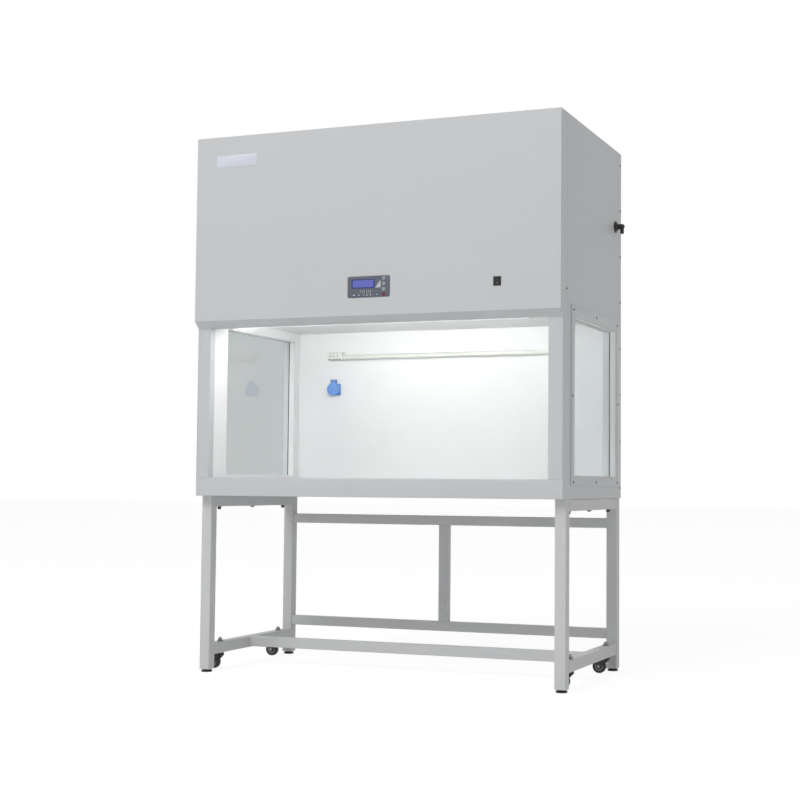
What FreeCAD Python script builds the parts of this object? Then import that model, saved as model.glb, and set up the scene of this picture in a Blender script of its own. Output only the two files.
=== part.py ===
import FreeCAD, Part
import os

import Sketcher
from FreeCAD import Placement, Rotation, Vector

# Vertical laminar flow cabinet on a tube stand with castors and levelling feet.
# Millimetres, +Z up. The origin is on the floor under the middle of the cabinet,
# the open front looks along -Y and +X is to the right of a person working at it.

doc = FreeCAD.newDocument("laminar_flow_cabinet")

# The driving dimensions: alias, value and what it measures.
DRIVING = (
    ("width", 1400, "cabinet, side skin to side skin"),
    ("total_depth", 750, "hood face to rear panel"),
    ("total_height", 1948, "floor to top panel"),
    ("overhang", 28, "hood in front of the base"),
    ("sheet", 1.5, "folded sheet steel"),
    ("fit_gap", 0.3, "gap between separate covers"),
    ("turn_gap", 0.05, "radial gap of a turning or sliding fit"),
    ("overcut", 1, "cutting shapes past the piece that they cut"),
    ("base_bottom", 641, "underside of the base, the top of the stand"),
    ("base_height", 65, "base tray"),
    ("rib_width", 30, "worktop rib"),
    ("rib_inset", 20, "worktop ribs inside the stand sides"),
    ("opening_height", 544, "work opening, base to hood lip"),
    ("bevel_rise", 25, "hood lip bevel"),
    ("lip_depth", 15, "return of the hood lip"),
    ("ceiling_rise", 50, "diffuser above the hood lip"),
    ("diffuser_edge", 10, "diffuser side fold"),
    ("column_width", 52, "front column, and the side wall"),
    ("column_depth", 30, "front column"),
    ("rear_gap", 32, "rear panel to chamber back wall"),
    ("wrap_depth", 72, "hood cover round the side"),
    ("joggle_reach", 20, "side skin joggle either side of the hood edge"),
    ("joggle_rise", 30, "side skin joggle above the bevel"),
    ("rear_flange", 26, "rear panel side flange"),
    ("window_front", 121, "side window, from the base front"),
    ("window_rear", 75, "side window, from the rear panel"),
    ("window_sill", 15, "side window above the base"),
    ("window_head", 11, "side window above the hood lip"),
    ("glass_thick", 6, "side glass"),
    ("glass_depth", 23, "side glass behind the chamber wall"),
    ("gasket_thick", 1.5, "glass gasket"),
    ("glass_lap", 12, "glass behind the window edge"),
    ("bezel_thick", 3, "window bezel"),
    ("bezel_front_width", 35, "bezel bar in front"),
    ("bezel_rear_width", 51, "bezel bar behind"),
    ("bezel_top_width", 42, "bezel bar above"),
    ("bezel_bottom_width", 35, "bezel bar below"),
    ("tube", 40, "square stand tube"),
    ("tube_wall", 2, "stand tube wall"),
    ("tube_corner", 3, "stand tube outer corner radius"),
    ("rail_height", 37, "rear rails and stretcher"),
    ("rail_depth", 30, "rear rails and strut"),
    ("stand_inset", 1, "stand side inside the cabinet side"),
    ("leg_setback", 42, "leg behind the base front"),
    ("stand_rear_inset", 12, "stand in front of the rear panel"),
    ("leg_clearance", 10.5, "leg end above the floor"),
    ("low_rail_bottom", 62, "low side rails above the floor"),
    ("rear_rail_top", 566, "upper rear rail"),
    ("rear_low_rail_top", 156, "lower rear rail"),
    ("stretcher_offset", 38, "stretcher front before the stand middle"),
    ("foot_radius", 20, "levelling foot pad"),
    ("foot_height", 10, "levelling foot pad"),
    ("foot_pad_height", 6, "levelling foot pad below its crown"),
    ("foot_crown_radius", 14, "levelling foot crown at the top"),
    ("foot_stem_radius", 4.95, "levelling foot thread"),
    ("foot_stem_length", 50, "levelling foot thread"),
    ("insert_height", 25, "threaded leg insert"),
    ("castor_front", 70, "front castors behind the front legs"),
    ("castor_rear", 74, "rear castors before the rear legs"),
    ("castor_trail", 24, "wheel axle beside the swivel"),
    ("castor_lift", 1, "wheel above the floor"),
    ("wheel_radius", 25, "castor wheel"),
    ("wheel_width", 20, "castor wheel"),
    ("axle_radius", 3, "castor axle"),
    ("stem_radius", 6, "castor stem"),
    ("race_radius", 15, "castor crown and race"),
    ("cheek", 2.5, "castor fork sheet"),
    ("cheek_ahead", 10, "fork cheek before the swivel"),
    ("cheek_roof", 12, "fork cheek top behind the swivel"),
    ("cheek_back", 7, "fork cheek behind the axle"),
    ("cheek_rise", 4, "fork cheek back corner above the axle"),
    ("cheek_toe", 5, "fork cheek end, half width"),
    ("cheek_fall", 6, "fork cheek below the axle"),
    ("cheek_drop", 3, "fork cheek under the crown"),
    ("dish_depth", 2, "castor wheel side dish"),
    ("dish_radius", 15.5, "castor wheel side dish"),
    ("boss_radius", 7, "castor wheel boss"),
    ("bolt_radius", 4, "stand bolt shank"),
    ("bolt_head_radius", 7.5, "stand bolt head and nut, across corners"),
    ("bolt_head_height", 5.5, "stand bolt head"),
    ("bolt_nut_height", 6.5, "stand bolt nut"),
    ("bolt_tail", 2.6, "stand bolt past its nut"),
    ("bolt_inset", 49, "end stand bolts from the legs"),
    ("stem_nut_radius", 10, "castor stem nut, across corners"),
    ("stem_nut_height", 8, "castor stem nut"),
    ("dome_radius", 7, "castor stem dome"),
    ("keeper_gap", 0.5, "castor stem keeper below the crown"),
    ("keeper_height", 2, "castor stem keeper"),
    ("keeper_radius", 8, "castor stem keeper"),
    ("race_height", 3, "castor race"),
    ("crown_height", 7.7, "castor crown"),
    ("screw_radius", 2, "panel screw shank"),
    ("screw_gap", 0.2, "panel screw in its hole"),
    ("screw_head_radius", 4, "panel screw head"),
    ("screw_head_height", 2, "panel screw head"),
    ("screw_tail", 3, "panel screw inside the skin"),
    ("hole_reach", 10, "screw holes either side of the skin"),
    ("bezel_screw_inset", 21, "front bezel screw from the window"),
    ("bezel_rear_screw_inset", 22, "rear bezel screw from the window"),
    ("bezel_top_screw_inset", 24, "upper bezel screws above the window"),
    ("bezel_screw_fall", 22, "lower bezel screws below the window"),
    ("bezel_corner_inset", 10, "end bezel screws before the window corner"),
    ("bezel_end_inset", 11, "end bezel screws behind the window corner"),
    ("rear_screw_bottom", 38, "lowest rear screw above the panel end"),
    ("rear_screw_top", 45, "highest rear screw below the top"),
    ("rear_screw_inset", 13, "rear screws in front of the rear face"),
    ("hood_screw_rise", 98, "hood screw above the hood lip"),
    ("hood_screw_inset", 7, "hood screw from the wrap edge"),
    ("filter_height", 90, "filter"),
    ("filter_wall", 15, "filter frame"),
    ("filter_side_gap", 9, "filter inside the side skin"),
    ("pack_inset", 8, "filter pack inside its frame, above and below"),
    ("deck_height", 80, "plenum deck over the filter"),
    ("beam_height", 18, "cross beam under the filter front"),
    ("beam_depth", 40, "cross beam under the filter front"),
    ("blower_inward", 20, "blower inside the middle of its half"),
    ("blower_share", 0.3, "blower scroll radius, share of the room over the deck"),
    ("blower_width", 200, "blower scroll"),
    ("blower_clearance", 60, "blower scroll above the deck"),
    ("outlet_offset", 10, "blower outlet behind the shaft"),
    ("inlet_lap", 5, "scroll inlet edge inside the blades"),
    ("impeller_share", 0.8, "blower wheel, share of the scroll radius"),
    ("impeller_width", 160, "blower wheel"),
    ("blade_count", 24, "blower wheel blades"),
    ("blade_depth", 15, "blower wheel blade"),
    ("ring_lap", 3, "blower wheel end ring inside the blades"),
    ("rim_width", 4, "blower wheel end ring and middle disc"),
    ("shaft_radius", 8, "blower shaft"),
    ("shaft_reach", 54, "blower shaft beside the scroll"),
    ("motor_share", 0.4, "blower motor, share of the scroll radius"),
    ("motor_length", 90, "blower motor"),
    ("motor_bar_width", 40, "motor bar across the scroll inlet"),
    ("motor_bar_thick", 3, "motor bar across the scroll inlet"),
    ("motor_bar_inset", 10, "motor bar end inside the scroll"),
    ("intake_size", 400, "intake opening, square"),
    ("prefilter_lap", 15, "prefilter frame round the intake"),
    ("prefilter_height", 20, "prefilter"),
    ("lamp_radius", 13, "chamber lamp tube"),
    ("lamp_length", 1170, "chamber lamp tube"),
    ("lamp_behind", 45, "chamber lamp behind the base front"),
    ("lamp_clearance", 2.5, "chamber lamp above the hood lip"),
    ("lamp_holder_length", 22, "chamber lamp holder"),
    ("uv_radius", 9, "germicidal tube"),
    ("uv_half_length", 441, "germicidal tube, middle to holder"),
    ("uv_drop", 104, "germicidal tube below the diffuser"),
    ("uv_stand_off", 25, "germicidal tube in front of the back wall"),
    ("uv_holder_length", 63, "germicidal lamp holder"),
    ("uv_holder_height", 32.4, "germicidal lamp holder"),
    ("uv_holder_front", 9, "germicidal lamp holder before the tube"),
    ("uv_holder_rise", 5.5, "germicidal lamp holder middle above the tube"),
    ("panel_offset", -2, "control panel middle"),
    ("panel_width", 162, "control panel"),
    ("panel_height", 75, "control panel"),
    ("panel_thick", 1.6, "control panel"),
    ("mouth_side_lap", 6, "panel over its hood opening at the sides"),
    ("mouth_top_lap", 2, "panel over its hood opening at the top"),
    ("mouth_key_gap", 0.8, "hood opening below the lowest key"),
    ("panel_rise", 87, "control panel above the hood lip"),
    ("display_width", 89, "display window"),
    ("display_height", 33, "display window"),
    ("display_inset", 15.5, "display from the panel's left edge"),
    ("display_bottom_inset", 32, "display from the panel's lower edge"),
    ("key_radius", 7, "keys"),
    ("key_gap", 0.3, "key in its hole"),
    ("key_travel", 0.8, "key stroke"),
    ("key_reserve", 0.2, "key clear of the board at full stroke"),
    ("key_proud", 1, "keys out of the panel"),
    ("key_column", 139, "keys from the panel's left edge"),
    ("key_first", 8.5, "lowest key from the panel's lower edge"),
    ("key_pitch", 19, "keys up the panel"),
    ("board_depth", 6, "circuit board behind the hood face"),
    ("board_thick", 1.6, "circuit board"),
    ("board_lap", 10, "circuit board round the panel"),
    ("board_post_radius", 3, "circuit board post"),
    ("board_block_width", 60, "relay block on the circuit board"),
    ("board_block_height", 40, "relay block on the circuit board"),
    ("board_block_depth", 16.4, "relay block on the circuit board"),
    ("rocker_inset", 225, "mains rocker from the right side"),
    ("rocker_rise", 124, "mains rocker above the hood lip"),
    ("rocker_case_width", 28, "rocker case"),
    ("rocker_case_height", 32, "rocker case"),
    ("rocker_width", 16, "rocker"),
    ("rocker_height", 18, "rocker"),
    ("rocker_clearance", 1.4, "well above and below the rocker"),
    ("rocker_rim", 2, "rocker case rim, proud and round the opening"),
    ("rocker_case_depth", 22, "rocker case behind the hood face"),
    ("rocker_well_depth", 11, "well behind the hood face"),
    ("rocker_front", 5, "rocker in front of its pin, and its drum"),
    ("rocker_back", 4, "rocker behind its pin"),
    ("rocker_tip", 10, "rocker at its off stop, degrees"),
    ("badge_inset", 165, "blank badge plate middle from the left side"),
    ("badge_drop", 91, "blank badge plate middle below the top"),
    ("badge_width", 163, "blank badge plate"),
    ("badge_height", 43, "blank badge plate"),
    ("badge_thick", 1, "blank badge plate"),
    ("socket_inset", 166, "chamber socket from the left chamber wall"),
    ("socket_rise", 362, "chamber socket above the worktop"),
    ("socket_size", 46, "chamber socket flange"),
    ("socket_barrel_radius", 21, "chamber socket barrel"),
    ("socket_barrel_depth", 26, "chamber socket barrel behind the wall"),
    ("socket_mouth_depth", 15, "chamber socket mouth"),
    ("socket_wall", 3, "chamber socket barrel wall"),
    ("socket_flange_thick", 6, "chamber socket flange"),
    ("socket_ear_outer", 12, "hinge ear from the socket middle"),
    ("socket_ear_inner", 7.5, "hinge ear from the socket middle"),
    ("socket_ear_depth", 9, "hinge ear behind its pin"),
    ("socket_ear_root", 20, "hinge ear into the barrel, below the pin"),
    ("flap_stand_off", 22, "flap before the back wall"),
    ("flap_radius", 26, "socket flap"),
    ("flap_thick", 6, "socket flap"),
    ("hinge_pin_radius", 2, "socket flap pin"),
    ("hinge_pin_rise", 12, "socket flap pin above the flange"),
    ("hinge_wall", 2, "plastic round the flap pin"),
    ("gland_fall", 291, "cable gland below the top"),
    ("gland_inset", 80, "cable gland before the rear panel"),
    ("gland_flange_radius", 21.5, "cable gland flange"),
    ("gland_flange_thick", 5, "cable gland flange"),
    ("gland_nut_thick", 7, "cable gland lock nut"),
    ("gland_nut_radius", 13.5, "cable gland lock nut"),
    ("gland_tail", 10.5, "cable gland barrel inside the skin"),
    ("gland_radius", 10, "cable gland barrel"),
    ("gland_leg_radius", 7, "cable gland leg"),
    ("gland_reach", 26, "cable gland elbow out of the side"),
    ("gland_drop", 27, "cable gland elbow down"),
    ("cord_bore_radius", 4.5, "cable gland bore"),
)

# Places that follow from the driving dimensions.
DERIVED = (
    ("half", "size.width / 2"),
    ("skin", "half - size.sheet"),
    ("hood_face", "-size.total_depth / 2"),
    ("front", "hood_face + size.overhang"),
    ("rear", "size.total_depth / 2"),
    ("base_top", "size.base_bottom + size.base_height"),
    ("opening_top", "base_top + size.opening_height"),
    ("bevel_top", "opening_top + size.bevel_rise"),
    ("ceiling", "opening_top + size.ceiling_rise"),
    ("top", "size.total_height"),
    ("wall_in", "half - size.column_width"),
    ("back_wall", "rear - size.rear_gap"),
    ("wrap_rear", "hood_face + size.wrap_depth"),
    ("flange_front", "rear - size.rear_flange"),
    ("win_front", "front + size.window_front"),
    ("win_rear", "rear - size.window_rear"),
    ("win_bottom", "base_top + size.window_sill"),
    ("win_top", "opening_top + size.window_head"),
    ("glass_in", "wall_in + size.glass_depth"),
    ("glass_out", "glass_in + size.glass_thick"),
    ("gasket_out", "glass_out + size.gasket_thick"),
    ("stand_out", "half - size.stand_inset"),
    ("stand_in", "stand_out - size.tube"),
    ("stand_mid", "stand_out - size.tube / 2"),
    ("leg_front", "front + size.leg_setback"),
    ("stand_rear", "rear - size.stand_rear_inset"),
    ("leg_rear", "stand_rear - size.tube"),
    ("low_rail_top", "size.low_rail_bottom + size.tube"),
    ("high_rail_bottom", "size.base_bottom - size.tube"),
    ("filter_top", "ceiling + size.filter_height"),
    ("deck_top", "filter_top + size.deck_height"),
    ("filter_out", "skin - size.filter_side_gap"),
    ("beam_front", "front + size.column_depth"),
    ("filter_front", "beam_front + size.beam_depth / 2"),
    ("filter_rear", "back_wall + size.rear_gap / 3"),
    ("panel_face", "hood_face - size.panel_thick"),
    ("panel_left", "size.panel_offset - size.panel_width / 2"),
    ("panel_right", "size.panel_offset + size.panel_width / 2"),
    ("panel_bottom", "opening_top + size.panel_rise"),
    ("panel_top", "panel_bottom + size.panel_height"),
    ("hood_inner", "hood_face + size.sheet"),
    ("board_face", "hood_face + size.board_depth"),
    ("key_x", "panel_left + size.key_column"),
    ("rocker_x", "half - size.rocker_inset"),
    ("badge_x", "-half + size.badge_inset"),
    ("socket_x", "-wall_in + size.socket_inset"),
    ("blower_x", "half / 2 - size.blower_inward"),
    ("axle_level", "size.castor_lift + size.wheel_radius"),
    ("fork_half", "size.wheel_width / 2 + size.castor_lift"),
    ("crown_top", "size.low_rail_bottom - size.race_height - size.fit_gap"),
    ("crown_bottom", "crown_top - size.crown_height"),
    ("keeper_top", "crown_bottom - size.keeper_gap"),
    ("keeper_bottom", "keeper_top - size.keeper_height"),
    ("rocker_z", "opening_top + size.rocker_rise"),
    ("badge_z", "top - size.badge_drop"),
    ("gland_y", "rear - size.gland_inset"),
    ("gland_z", "top - size.gland_fall"),
    ("uv_y", "back_wall - size.uv_stand_off"),
    ("uv_z", "ceiling - size.uv_drop"),
    ("lamp_y", "front + size.lamp_behind"),
    ("lamp_z", "opening_top + size.lamp_clearance + size.lamp_radius"),
    ("socket_z", "base_top + size.socket_rise"),
    ("socket_top", "socket_z + size.socket_size / 2"),
    ("flap_rear", "back_wall - size.flap_stand_off"),
    ("pin_z", "socket_top + size.hinge_pin_rise"),
    ("scroll_radius", "(top - deck_top) * size.blower_share"),
    ("impeller_radius", "scroll_radius * size.impeller_share"),
    ("motor_radius", "scroll_radius * size.motor_share"),
    ("blower_z", "deck_top + size.blower_clearance + scroll_radius"),
    ("blower_y", "(filter_front + filter_rear) / 2"),
)


def fill_sheet():
    sheet = doc.addObject("Spreadsheet::Sheet", "size")
    for row, (alias, value, meaning) in enumerate(DRIVING, start=1):
        sheet.set(f"A{row}", meaning)
        sheet.set(f"B{row}", str(value))
        sheet.setAlias(f"B{row}", alias)
    doc.recompute()
    place = doc.addObject("App::VarSet", "place")
    for name, formula in DERIVED:
        place.addProperty("App::PropertyFloat", name)
        place.setExpression(name, formula)
    doc.recompute()


def bind(obj, prop, formula):
    obj.setExpression(prop, str(formula))


def put(obj, x, y, z):
    for axis, formula in zip("xyz", (x, y, z)):
        bind(obj, f"Placement.Base.{axis}", formula)


def box(name, x, y, z):
    """A box between pairs of places along X, Y and Z."""
    obj = doc.addObject("Part::Box", name)
    for prop, (low, high) in zip(("Length", "Width", "Height"), (x, y, z)):
        bind(obj, prop, f"({high}) - ({low})")
    put(obj, x[0], y[0], z[0])
    return obj


TURN = {
    "x": Rotation(Vector(0, 1, 0), 90),
    "y": Rotation(Vector(1, 0, 0), -90),
    "z": Rotation(),
}


def rod(name, axis, centre, span, radius):
    """A cylinder along an axis: centre holds the two other places in X, Y, Z order."""
    obj = doc.addObject("Part::Cylinder", name)
    obj.Placement = Placement(Vector(), TURN[axis])
    bind(obj, "Radius", radius)
    bind(obj, "Height", f"({span[1]}) - ({span[0]})")
    start = list(centre)
    start.insert("xyz".index(axis), span[0])
    put(obj, *start)
    return obj


def group(name, *pieces):
    """Separate solids under one name."""
    obj = doc.addObject("Part::Compound", name)
    obj.Links = list(pieces)
    return obj


def fuse(name, *pieces):
    obj = doc.addObject("Part::MultiFuse", name)
    obj.Shapes = list(pieces)
    obj.Refine = True
    return obj


def cut(name, base, *tools):
    obj = doc.addObject("Part::Cut", name)
    obj.Base = base
    obj.Tool = tools[0] if len(tools) == 1 else group(name + "_tools", *tools)
    obj.Refine = True
    return obj


def mirrored(name, source):
    """The same piece on the other side of the middle plane."""
    obj = doc.addObject("Part::Mirroring", name)
    obj.Source = source
    obj.Normal = (1, 0, 0)
    return obj


def pair(name, right):
    """A right-hand piece and its mirror image under one name."""
    return group(name, right, mirrored(name + "_mirror", right))


def ring(name, x, outer, inner):
    """A flat frame across X: outer and inner are (y, z) pairs of places."""
    plate = box(name + "_plate", x, *outer)
    hole = box(name + "_hole", (f"({x[0]}) - size.overcut", f"({x[1]}) + size.overcut"), *inner)
    return cut(name, plate, hole)


def outline_body(name, plane, offset, points, length, reverse=False):
    """A body padded from a closed outline on an origin plane; every corner is bound."""
    body = doc.addObject("PartDesign::Body", name)
    add_outline(body, plane, offset, points, length, reverse)
    return body


def add_outline(body, plane, offset, points, length, reverse=False):
    sketch = body.newObject("Sketcher::SketchObject", body.Name + "_outline")
    support = [o for o in body.Origin.OriginFeatures if o.Role == plane][0]
    sketch.AttachmentSupport = (support, [""])
    sketch.MapMode = "FlatFace"
    bind(sketch, "AttachmentOffset.Base.z", offset)
    corners = [Vector(value_of(a), value_of(b), 0) for a, b in points]
    count = len(corners)
    for i in range(count):
        sketch.addGeometry(Part.LineSegment(corners[i], corners[(i + 1) % count]), False)
    for i in range(count):
        sketch.addConstraint(Sketcher.Constraint("Coincident", i, 2, (i + 1) % count, 1))
    for i, (a, b) in enumerate(points):
        for kind, formula in (("DistanceX", a), ("DistanceY", b)):
            value = value_of(formula)
            row = sketch.addConstraint(Sketcher.Constraint(kind, -1, 1, i, 1, value))
            sketch.setExpression(f"Constraints[{row}]", str(formula))
    pad = body.newObject("PartDesign::Pad", body.Name + "_pad")
    pad.Profile = sketch
    pad.Reversed = reverse
    bind(pad, "Length", length)
    sketch.Visibility = False


def value_of(formula):
    """The number that an expression stands for now."""
    return float(doc.getObject("place").evalExpression(str(formula)))


def tube(name, x, y, z, along):
    """A square tube with rounded corners, open at both ends."""
    body = doc.addObject("PartDesign::Body", name)
    solid = body.newObject("PartDesign::AdditiveBox", name + "_bar")
    for prop, (low, high) in zip(("Length", "Width", "Height"), (x, y, z)):
        bind(solid, prop, f"({high}) - ({low})")
    put(solid, x[0], y[0], z[0])
    doc.recompute()
    way = {"x": Vector(1, 0, 0), "y": Vector(0, 1, 0), "z": Vector(0, 0, 1)}[along]
    corners = []
    for number, edge in enumerate(solid.Shape.Edges, start=1):
        if abs(edge.tangentAt(edge.FirstParameter).dot(way)) > 0.99:
            corners.append(f"Edge{number}")
    rounds = body.newObject("PartDesign::Fillet", name + "_corners")
    rounds.Base = (solid, corners)
    bind(rounds, "Radius", "size.tube_corner")
    bore = body.newObject("PartDesign::SubtractiveBox", name + "_bore")
    spans = []
    for axis, (low, high) in zip("xyz", (x, y, z)):
        if axis == along:
            spans.append((low, high))
        else:
            spans.append((f"({low}) + size.tube_wall", f"({high}) - size.tube_wall"))
    for prop, (low, high) in zip(("Length", "Width", "Height"), spans):
        bind(bore, prop, f"({high}) - ({low})")
    put(bore, spans[0][0], spans[1][0], spans[2][0])
    body.Tip = bore
    return body


STAND_MIDDLE = "(place.leg_front + place.stand_rear) / 2"
STAND_BOLT_PLACES = (
    "place.leg_front + size.tube + size.bolt_inset",
    STAND_MIDDLE,
    "place.leg_rear - size.bolt_inset",
)
CASTOR_PLACES = {
    "front": "place.leg_front + size.tube + size.castor_front",
    "rear": "place.leg_rear - size.castor_rear",
}
FOOT_PLACES = {
    "front": "place.leg_front + size.tube / 2",
    "rear": "place.leg_rear + size.tube / 2",
}
SIDES = {"left": -1, "right": 1}
# The worktop's ribs, as shares of its depth.
RIB_SHARES = (0.15, 0.5, 0.85)
# Screws down one rear flange.
REAR_SCREWS = 8


def stand_side_frames():
    """Two legs, a high rail and a low rail on each side."""
    across = ("place.stand_in", "place.stand_out")
    leg_z = ("size.leg_clearance", "size.base_bottom")
    rail_y = ("place.leg_front + size.tube", "place.leg_rear")
    front = ("place.leg_front", "place.leg_front + size.tube")
    rear = ("place.leg_rear", "place.stand_rear")
    legs = [tube("leg_a", across, front, leg_z, "z"), tube("leg_b", across, rear, leg_z, "z")]
    high = tube("high_rail", across, rail_y, ("place.high_rail_bottom", "size.base_bottom"), "y")
    low = tube("low_rail", across, rail_y, ("size.low_rail_bottom", "place.low_rail_top"), "y")
    high_holes = []
    for i, y in enumerate(STAND_BOLT_PLACES):
        span = ("place.high_rail_bottom - size.overcut", "size.base_bottom + size.overcut")
        hole = rod(f"bolt_hole_{i}", "z", ("place.stand_mid", y), span, "size.bolt_radius + size.fit_gap")
        high_holes.append(hole)
    low_holes = []
    for end, y in CASTOR_PLACES.items():
        span = ("size.low_rail_bottom - size.overcut", "place.low_rail_top + size.overcut")
        hole = rod(f"stem_hole_{end}", "z", ("place.stand_mid", y), span, "size.stem_radius + size.fit_gap")
        low_holes.append(hole)
    high = cut("high_rail_drilled", high, *high_holes)
    low = cut("low_rail_drilled", low, *low_holes)
    right = group("stand_side_right", *legs, high, low)
    return [right, mirrored("stand_side_left", right)]


def stand_rear_frame():
    """Upper rail, lower rail and the strut between them, inside the rear legs."""
    across = ("-place.stand_in", "place.stand_in")
    middle = "(place.leg_rear + size.tube / 2)"
    y = (f"{middle} - size.rail_depth / 2", f"{middle} + size.rail_depth / 2")
    upper = ("size.rear_rail_top - size.rail_height", "size.rear_rail_top")
    lower = ("size.rear_low_rail_top - size.rail_height", "size.rear_low_rail_top")
    strut_x = ("-size.tube / 2", "size.tube / 2")
    rails = [tube("upper_rail", across, y, upper, "x"), tube("lower_rail", across, y, lower, "x")]
    strut = tube("strut", strut_x, y, (lower[1], upper[0]), "z")
    return group("stand_rear_frame", *rails, strut)


def stand_stretcher():
    across = ("-place.stand_in", "place.stand_in")
    start = f"{STAND_MIDDLE} - size.stretcher_offset"
    y = (start, f"{start} + size.tube")
    z = ("place.low_rail_top - size.rail_height", "place.low_rail_top")
    body = tube("stretcher_tube", across, y, z, "x")
    return group("stand_stretcher", body)


def stand_bolts():
    """Hexagon bolts up through the high rails, with nuts inside the base."""
    bolts = []
    for side, sign in SIDES.items():
        for i, y in enumerate(STAND_BOLT_PLACES):
            at = (f"{sign} * place.stand_mid", y)
            name = f"bolt_{side}_{i}"
            nut_low = "size.base_bottom + size.sheet"
            shank_z = ("place.high_rail_bottom", f"{nut_low} + size.bolt_nut_height + size.bolt_tail")
            shank = rod(name + "_shank", "z", at, shank_z, "size.bolt_radius")
            head = hexagon(name + "_head", at, "place.high_rail_bottom - size.bolt_head_height",
                           "size.bolt_head_height", "size.bolt_head_radius")
            nut = hexagon(name + "_nut", at, nut_low, "size.bolt_nut_height", "size.bolt_head_radius")
            bolts.append(fuse(name, shank, head, nut))
    return group("stand_bolts", *bolts)


def hexagon(name, at, low, height, radius):
    obj = doc.addObject("Part::Prism", name)
    obj.Polygon = 6
    bind(obj, "Circumradius", radius)
    bind(obj, "Height", height)
    put(obj, at[0], at[1], low)
    return obj


def leg_inserts():
    """Square plugs in the leg ends, threaded for the levelling feet."""
    inserts = []
    for side, sign in SIDES.items():
        for end, y in FOOT_PLACES.items():
            middle = f"{sign} * place.stand_mid"
            reach = "(size.tube / 2 - size.tube_wall - size.fit_gap / 3)"
            name = f"insert_{end}_{side}"
            z = ("size.leg_clearance", "size.leg_clearance + size.insert_height")
            x = (f"{middle} - {reach}", f"{middle} + {reach}")
            plug = box(name + "_plug", x, (f"{y} - {reach}", f"{y} + {reach}"), z)
            span = (f"{z[0]} - size.overcut", f"{z[1]} + size.overcut")
            radius = "size.foot_stem_radius + size.turn_gap"
            bore = rod(name + "_bore", "z", (middle, y), span, radius)
            inserts.append(cut(name, plug, bore))
    return group("leg_inserts", *inserts)


def levelling_feet():
    feet = []
    for end, y in FOOT_PLACES.items():
        for side, sign in SIDES.items():
            name = f"levelling_foot_{end}_{side}"
            at = (f"{sign} * place.stand_mid", y)
            pad = rod(name + "_pad", "z", at, ("0", "size.foot_pad_height"), "size.foot_radius")
            crown = doc.addObject("Part::Cone", name + "_crown")
            bind(crown, "Radius1", "size.foot_radius")
            bind(crown, "Radius2", "size.foot_crown_radius")
            bind(crown, "Height", "size.foot_height - size.foot_pad_height")
            put(crown, at[0], at[1], "size.foot_pad_height")
            top = "size.foot_height + size.foot_stem_length"
            stem = rod(name + "_stem", "z", at, ("size.foot_pad_height", top), "size.foot_stem_radius")
            feet.append(fuse(name, pad, crown, stem))
    return feet


def castor_stems():
    """A stem through the low rail with a race below, a nut above and a retaining head."""
    stems = []
    for end, y in CASTOR_PLACES.items():
        for side, sign in SIDES.items():
            name = f"stem_{end}_{side}"
            at = (f"{sign} * place.stand_mid", y)
            nut_top = "place.low_rail_top + size.stem_nut_height"
            shank_z = ("place.keeper_bottom", nut_top)
            shank = rod(name + "_shank", "z", at, shank_z, "size.stem_radius")
            race_z = ("size.low_rail_bottom - size.race_height", "size.low_rail_bottom")
            race = rod(name + "_race", "z", at, race_z, "size.race_radius")
            keeper_z = ("place.keeper_bottom", "place.keeper_top")
            keeper = rod(name + "_keeper", "z", at, keeper_z, "size.keeper_radius")
            nut = hexagon(name + "_nut", at, "place.low_rail_top", "size.stem_nut_height",
                          "size.stem_nut_radius")
            dome = doc.addObject("Part::Sphere", name + "_dome")
            bind(dome, "Radius", "size.dome_radius")
            put(dome, at[0], at[1], nut_top)
            stems.append(fuse(name, shank, race, keeper, nut, dome))
    return group("castor_stems", *stems)


def castor_forks():
    """A crown that turns on the stem, two cheeks and the axle between them."""
    forks = []
    for end, y in CASTOR_PLACES.items():
        for side, sign in SIDES.items():
            name = f"castor_fork_{end}_{side}"
            x = f"{sign} * place.stand_mid"
            crown_z = ("place.crown_bottom", "place.crown_top")
            crown = rod(name + "_crown", "z", (x, y), crown_z, "size.race_radius")
            cheeks = [
                castor_cheek(f"{name}_cheek_{i}", x, f"{y} {place}")
                for i, place in enumerate(("- place.fork_half", "+ place.fork_half + size.cheek"))
            ]
            reach = "(place.fork_half + size.cheek)"
            axle_y = (f"{y} - {reach}", f"{y} + {reach}")
            at = (f"{x} - size.castor_trail", "place.axle_level")
            axle = rod(name + "_axle", "y", at, axle_y, "size.axle_radius")
            body = fuse(name + "_body", crown, axle, *cheeks)
            span = (f"{crown_z[0]} - size.overcut", f"{crown_z[1]} + size.overcut")
            bore = rod(name + "_bore", "z", (x, y), span, "size.stem_radius + size.turn_gap")
            forks.append(cut(name, body, bore))
    return forks


def castor_cheek(name, x, y_far):
    """A tapered arm from the crown down to the axle, one sheet thick."""
    top = "place.crown_top"
    axle_x = f"{x} - size.castor_trail"
    low = "place.axle_level - size.cheek_fall"
    points = (
        (f"{x} + size.cheek_ahead", top),
        (f"{x} - size.cheek_roof", top),
        (f"{axle_x} - size.cheek_back", "place.axle_level + size.cheek_rise"),
        (f"{axle_x} - size.cheek_toe", low),
        (f"{axle_x} + size.cheek_toe", low),
        (f"{x} + size.cheek_ahead", "place.crown_bottom - size.cheek_drop"),
    )
    return outline_body(name, "XZ_Plane", f"-({y_far})", points, "size.cheek")


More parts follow.
